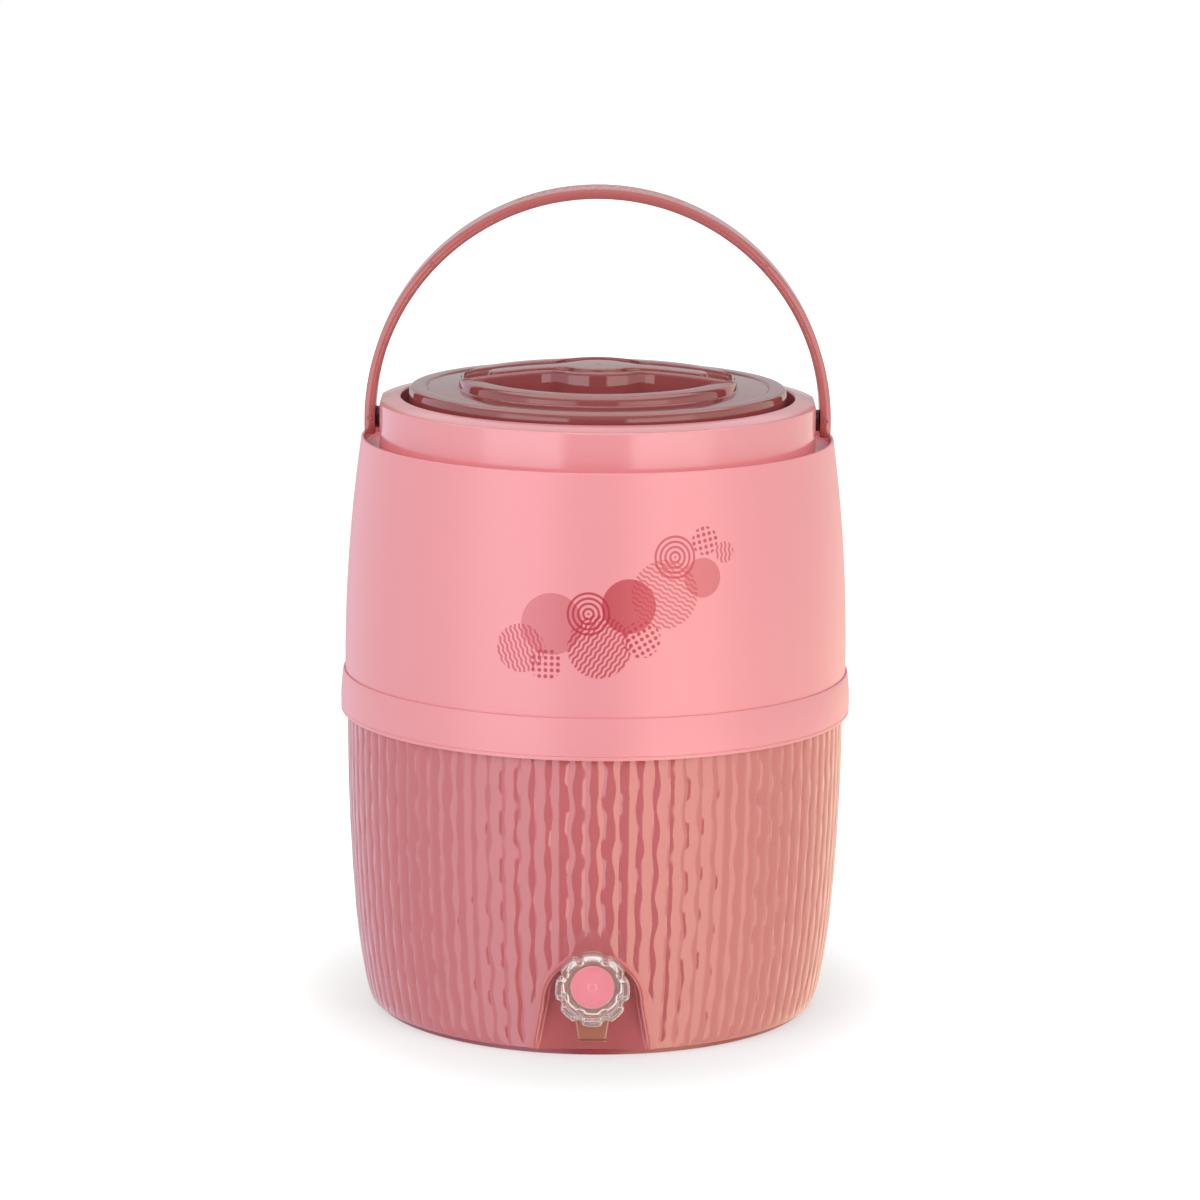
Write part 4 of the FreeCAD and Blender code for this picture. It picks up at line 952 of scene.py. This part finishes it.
# Clear polystyrene, polished mould: light goes straight through for shadows, so that what it covers stays lit
def clearPlastic():
    material, tree, place = startMaterial("clearMouldedPolystyrene")
    ripple = speckle(tree, place, 6.0, 1.0)
    bump = addNode(tree, "Bump", {"Height": ripple, "Strength": 0.15, "Distance": 0.03 * mm})
    rough = ranged(tree, speckle(tree, place, 1.5, 3.0), 0.3, 0.7, 0.015, 0.05)
    shader = addNode(tree, "BsdfPrincipled", {
        "Base Color": hexToLinear("#FBF7F5"), "Roughness": rough, "IOR": 1.55, "Transmission Weight": 0.93,
        "Normal": bump.outputs["Normal"]})
    through = addNode(tree, "BsdfTransparent", {"Color": hexToLinear("#F4ECE9")})
    shadow = addNode(tree, "LightPath").outputs["Is Shadow Ray"]
    mixed = addNode(tree, "MixShader", {0: shadow, 1: shader.outputs["BSDF"], 2: through.outputs["BSDF"]})
    addNode(tree, "OutputMaterial", {"Surface": mixed.outputs["Shader"]})
    return material


# Rigid polyurethane foam: closed cells of about a millimetre, torn open where it is cut
def rigidFoam():
    material, tree, place = startMaterial("rigidPolyurethaneFoam")
    cells = addNode(tree, "TexVoronoi", {"Vector": place, "Scale": 1 / (1.4 * mm)}).outputs["Distance"]
    bump = addNode(tree, "Bump", {"Height": cells, "Strength": 0.6, "Distance": 0.4 * mm})
    colour = blended(tree, cells, hexToLinear("#E8D9AE"), hexToLinear("#CDB985"))
    shader = addNode(tree, "BsdfPrincipled", {"Base Color": colour, "Roughness": 0.85,
                                              "Normal": bump.outputs["Normal"]})
    addNode(tree, "OutputMaterial", {"Surface": shader.outputs["BSDF"]})
    return material


# Spring steel, blanked and tumbled: fine scratches in every direction
def springSteel():
    material, tree, place = startMaterial("tumbledSpringSteel")
    rough = ranged(tree, speckle(tree, place, 0.4, 5.0), 0.0, 1.0, 0.2, 0.45)
    shader = addNode(tree, "BsdfPrincipled", {"Base Color": hexToLinear("#B9B7B2"), "Metallic": 1.0,
                                              "Roughness": rough})
    addNode(tree, "OutputMaterial", {"Surface": shader.outputs["BSDF"]})
    return material


def makeFinishes():
    looks = {"lower": lowerPlastic, "niche": nichePlastic, "upper": upperPlastic, "collar": collarPlastic,
             "printed": printedPlastic, "lid": lidPlastic, "bail": bailPlastic, "tap": tapPlastic,
             "cap": capPlastic, "base": basePlastic, "washer": washerPlastic, "liner": linerPlastic,
             "rubber": sealRubber}
    made = {name: mouldedPlastic(look, printMotif if name == "printed" else None)
            for name, look in looks.items()}
    made.update(clear=clearPlastic(), foam=rigidFoam(), steel=springSteel())
    return made


# Stage: a white floor, and a white surround that differs between the gloss and the shade. Its stops are
# (degrees from the front, share of the peak, tint): two tall soft lights stand beside a dark front.

stage = {
    # shadeShape, shadeFrom, shadeTo and nearGlow set the painted shade on the floor round the jug's foot
    "floorSize": 12.0, "floorColour": "#F2F2F2", "shadeColour": "#B4BCBC", "shadeShape": (1.25, 0.95, 1.0),
    "shadeFrom": 0.14, "shadeTo": 0.3, "nearGlow": 0.52, "farGlow": 1.0,
    "diffuseLevel": 0.48, "diffuseTint": "#FFFDFB", "stripLevel": 3.4, "stripTop": 0.3, "stripFade": 0.06,
    "gapLevel": 0.22, "backLevel": 0.36, "backFrom": 0.3, "ceilingFrom": 0.66, "ceilingFade": 0.08,
    "warmth": (1.7, 1.46, 1.22), "warmBelow": (-0.1, -0.2), "middle": 0.05,
    "leftSide": [(0, 0.05, "#FFFFFF"), (16, 0.05, "#FFFFFF"), (19, 1.04, "#F0F6FF"), (58, 1.04, "#F0F6FF"),
                 (64, 0.56, "#F0ECF6"), (150, 0.42, "#ECEAFF"), (165, 0.2, "#FFFFFF"), (180, 0.2, "#FFFFFF")],
    "rightSide": [(0, 0.05, "#FFFFFF"), (16, 0.05, "#FFFFFF"), (19, 1.0, "#FFF9F0"), (58, 1.0, "#FFF6E6"),
                  (64, 0.6, "#FFF0E0"), (150, 0.38, "#FFF2E4"), (165, 0.2, "#FFFFFF"), (180, 0.2, "#FFFFFF")]}
lamps = {"size": 1.2, "power": 12.6, "distance": 1.7, "height": 1.1, "turn": 42, "aim": 0.22}
view = {"place": (0.0, -2.755, 0.757), "pitch": 10.77, "roll": 0.52, "lens": 147.69, "shift": 4 / 1200,
        "sensor": 36, "farthest": 50}


# Adds a ramp over the degrees from the front to the back
def surroundRamp(tree, share, stops):
    ramp = addNode(tree, "ValToRGB", {0: share})
    marks = ramp.color_ramp.elements
    while len(marks) < len(stops):
        marks.new(0.5)
    for mark, (degrees, level, tint) in zip(marks, stops):
        mark.position = degrees / 180
        mark.color = [part * level for part in hexToLinear(tint)[:3]] + [1.0]
    return ramp.outputs[0]


# What the gloss sees: strips at both sides, a gap over them that is dim in front, and a bright ceiling
def mirroredSurround(tree):
    white = (1, 1, 1, 1)
    direction = addNode(tree, "TexCoord").outputs["Generated"]
    across, depth, height = addNode(tree, "SeparateXYZ", {0: direction}).outputs
    front = maths(tree, "MULTIPLY", depth, -1.0)
    turn = maths(tree, "ARCTAN2", maths(tree, "ABSOLUTE", across), front)
    share = maths(tree, "MULTIPLY", turn, 1 / math.pi)
    left, right = [surroundRamp(tree, share, stage[side]) for side in ("leftSide", "rightSide")]
    lean = ranged(tree, across, -stage["middle"], stage["middle"])
    low = maths(tree, "MULTIPLY", ranged(tree, height, *stage["warmBelow"]), lean)
    warmth = blended(tree, low, white, (*stage["warmth"], 1))
    sides = blended(tree, 1.0, blended(tree, lean, left, right), warmth, blend_type="MULTIPLY")
    over = ranged(tree, height, stage["stripTop"], stage["stripTop"] + stage["stripFade"])
    gap = ranged(tree, depth, 0.0, stage["backFrom"], stage["gapLevel"], stage["backLevel"])
    sides = blended(tree, over, sides, gap)
    above = ranged(tree, height, stage["ceilingFrom"], stage["ceilingFrom"] + stage["ceilingFade"])
    return blended(tree, above, sides, white)


def makeWorld():
    world = bpy.data.worlds.new("softSurround")
    bpy.context.scene.world = world
    world.use_nodes = True
    tree = world.node_tree
    tree.nodes.clear()
    path = addNode(tree, "LightPath").outputs
    seen = maths(tree, "MAXIMUM", path["Is Camera Ray"], path["Is Transmission Ray"])
    glossy = path["Is Glossy Ray"]
    tint = blended(tree, glossy, hexToLinear(stage["diffuseTint"]), mirroredSurround(tree))
    tint = blended(tree, seen, tint, (1, 1, 1, 1))
    level = ranged(tree, glossy, 0.0, 1.0, stage["diffuseLevel"], stage["stripLevel"])
    level = ranged(tree, seen, 0.0, 1.0, level, 1.0)
    surround = addNode(tree, "Background", {"Color": tint, "Strength": level})
    addNode(tree, "OutputWorld", {"Surface": surround.outputs["Background"]})


# The floor glows white for the camera, less so near the jug, and is left out of the gloss. The dimmer glow in
# an ellipse round the jug's foot is a painted shade that deepens the real shadow. For the camera the matt
# part also takes a darker, cooler grey.
def makeFloor():
    deselectAll()
    bpy.ops.mesh.primitive_plane_add(size=stage["floorSize"], location=(0, 0, 0))
    floor = bpy.context.object
    floor.name = "studioFloor"
    material, tree, place = startMaterial("whiteStudioFloor")
    path = addNode(tree, "LightPath").outputs
    seen = path["Is Camera Ray"]
    shade = blended(tree, seen, hexToLinear(stage["floorColour"]), hexToLinear(stage["shadeColour"]))
    matt = addNode(tree, "BsdfDiffuse", {"Color": shade})
    # Painted shade: the glow drops in an ellipse round the jug's foot, so the floor there is darker than the
    # lamps alone make it
    shaped = addNode(tree, "VectorMath", {0: place, 1: stage["shadeShape"]}, operation="MULTIPLY").outputs[0]
    glows = ranged(tree, lengthOf(tree, shaped), stage["shadeFrom"], stage["shadeTo"], stage["nearGlow"],
                   stage["farGlow"], interpolation_type="SMOOTHSTEP")
    strength = maths(tree, "MULTIPLY", seen, glows)
    glow = addNode(tree, "Emission", {"Color": (1, 1, 1, 1), "Strength": strength})
    lit = addNode(tree, "AddShader", {0: matt.outputs["BSDF"], 1: glow.outputs["Emission"]})
    clear = addNode(tree, "BsdfTransparent")
    unseen = maths(tree, "MAXIMUM", path["Is Glossy Ray"], path["Is Transmission Ray"])
    mixed = addNode(tree, "MixShader", {0: unseen, 1: lit.outputs["Shader"], 2: clear.outputs["BSDF"]})
    addNode(tree, "OutputMaterial", {"Surface": mixed.outputs["Shader"]})
    floor.data.materials.append(material)


def makeLamps():
    for side, name in ((-1, "softBoxLeft"), (1, "softBoxRight")):
        deselectAll()
        turn = math.radians(lamps["turn"]) * side
        place = Vector((math.sin(turn) * lamps["distance"], -math.cos(turn) * lamps["distance"],
                        lamps["height"]))
        bpy.ops.object.light_add(type="AREA", location=place)
        lamp = bpy.context.object
        lamp.name = name
        lamp.data.shape = "SQUARE"
        lamp.data.size = lamps["size"]
        lamp.data.energy = lamps["power"]
        lamp.rotation_euler = (Vector((0, 0, lamps["aim"])) - place).to_track_quat("-Z", "Y").to_euler()
        lamp.visible_glossy = False
        lamp.visible_transmission = False


def makeCamera():
    deselectAll()
    bpy.ops.object.camera_add(location=view["place"])
    camera = bpy.context.object
    tilt = Matrix.Rotation(math.radians(90 - view["pitch"]), 4, "X")
    camera.rotation_euler = (tilt @ Matrix.Rotation(math.radians(view["roll"]), 4, "Z")).to_euler()
    camera.data.lens = view["lens"]
    camera.data.sensor_width = view["sensor"]
    camera.data.shift_x = view["shift"]
    camera.data.clip_end = view["farthest"]
    bpy.context.scene.camera = camera


# Putting it together

makeCamera()
makeWorld()
makeFloor()
makeLamps()
finishes = makeFinishes()
print("stage, camera and finishes are ready")

finishPiece(makeLowerJacket(), finishes["lower"], "jug", ["lower_jacket"], angle=13)
finishPiece(makeNiche(), finishes["niche"], "jug", angle=40)
print("lower jacket done")

finishPiece(makeUpperJacket(), finishes["printed"], "jug", ["upper_jacket"])
finishPiece(makeWaistBand(), finishes["upper"], "jug", ["waist_band"])
finishPiece(makeBasePlate(), finishes["base"], "jug", ["base_plate"])
finishPiece(makeCollar(), finishes["collar"], "jug", ["collar"])
print("upper jacket, band, base and collar done")

finishPiece(makeLidCover(), finishes["lid"], "lid", ["lid_cover"])
finishPiece(makeLidBar(), finishes["lid"], "lid", angle=50)
print("lid done")

finishPiece(makeBail(), finishes["bail"], "bail", ["bail_handle"], angle=40)
for mark in placeBailMarks(makeBailMark()):
    finishPiece(mark, finishes["bail"], "bail")
for side, name in ((-1, "left"), (1, "right")):
    finishPiece(makePin(side), finishes["bail"], "jug", ["pivot_pin_" + name])
    finishPiece(makeWasher(side), finishes["washer"], "jug", ["pivot_washer_" + name])
print("bail done")

finishPiece(makeTapBody(), finishes["tap"], "jug", ["tap_body"])
finishPiece(makeTapSpout(), finishes["tap"], "jug")
finishPiece(makeKnob(), finishes["clear"], "knob", ["tap_knob"], angle=50)
finishPiece(makeKnobCap(), finishes["cap"], "knob", ["knob_cap"])
print("tap done")

# The nodes that keep their own shape get their finish only
plain = {
    "liner": ["inner_liner", "lid_inner_cover"], "foam": ["foam_insulation", "lid_foam"],
    "rubber": ["lid_gasket", "tap_outer_gasket", "tap_inner_gasket", "stem_o_ring", "valve_washer"],
    "tap": ["tap_nut", "tap_bonnet", "knob_retainer", "valve_stem"], "steel": ["knob_clip"]}
for finish, nodes in plain.items():
    for node in nodes:
        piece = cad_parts[node]
        piece.data.materials.clear()
        piece.data.materials.append(finishes[finish])

bpy.context.scene.view_settings.view_transform = "Standard"
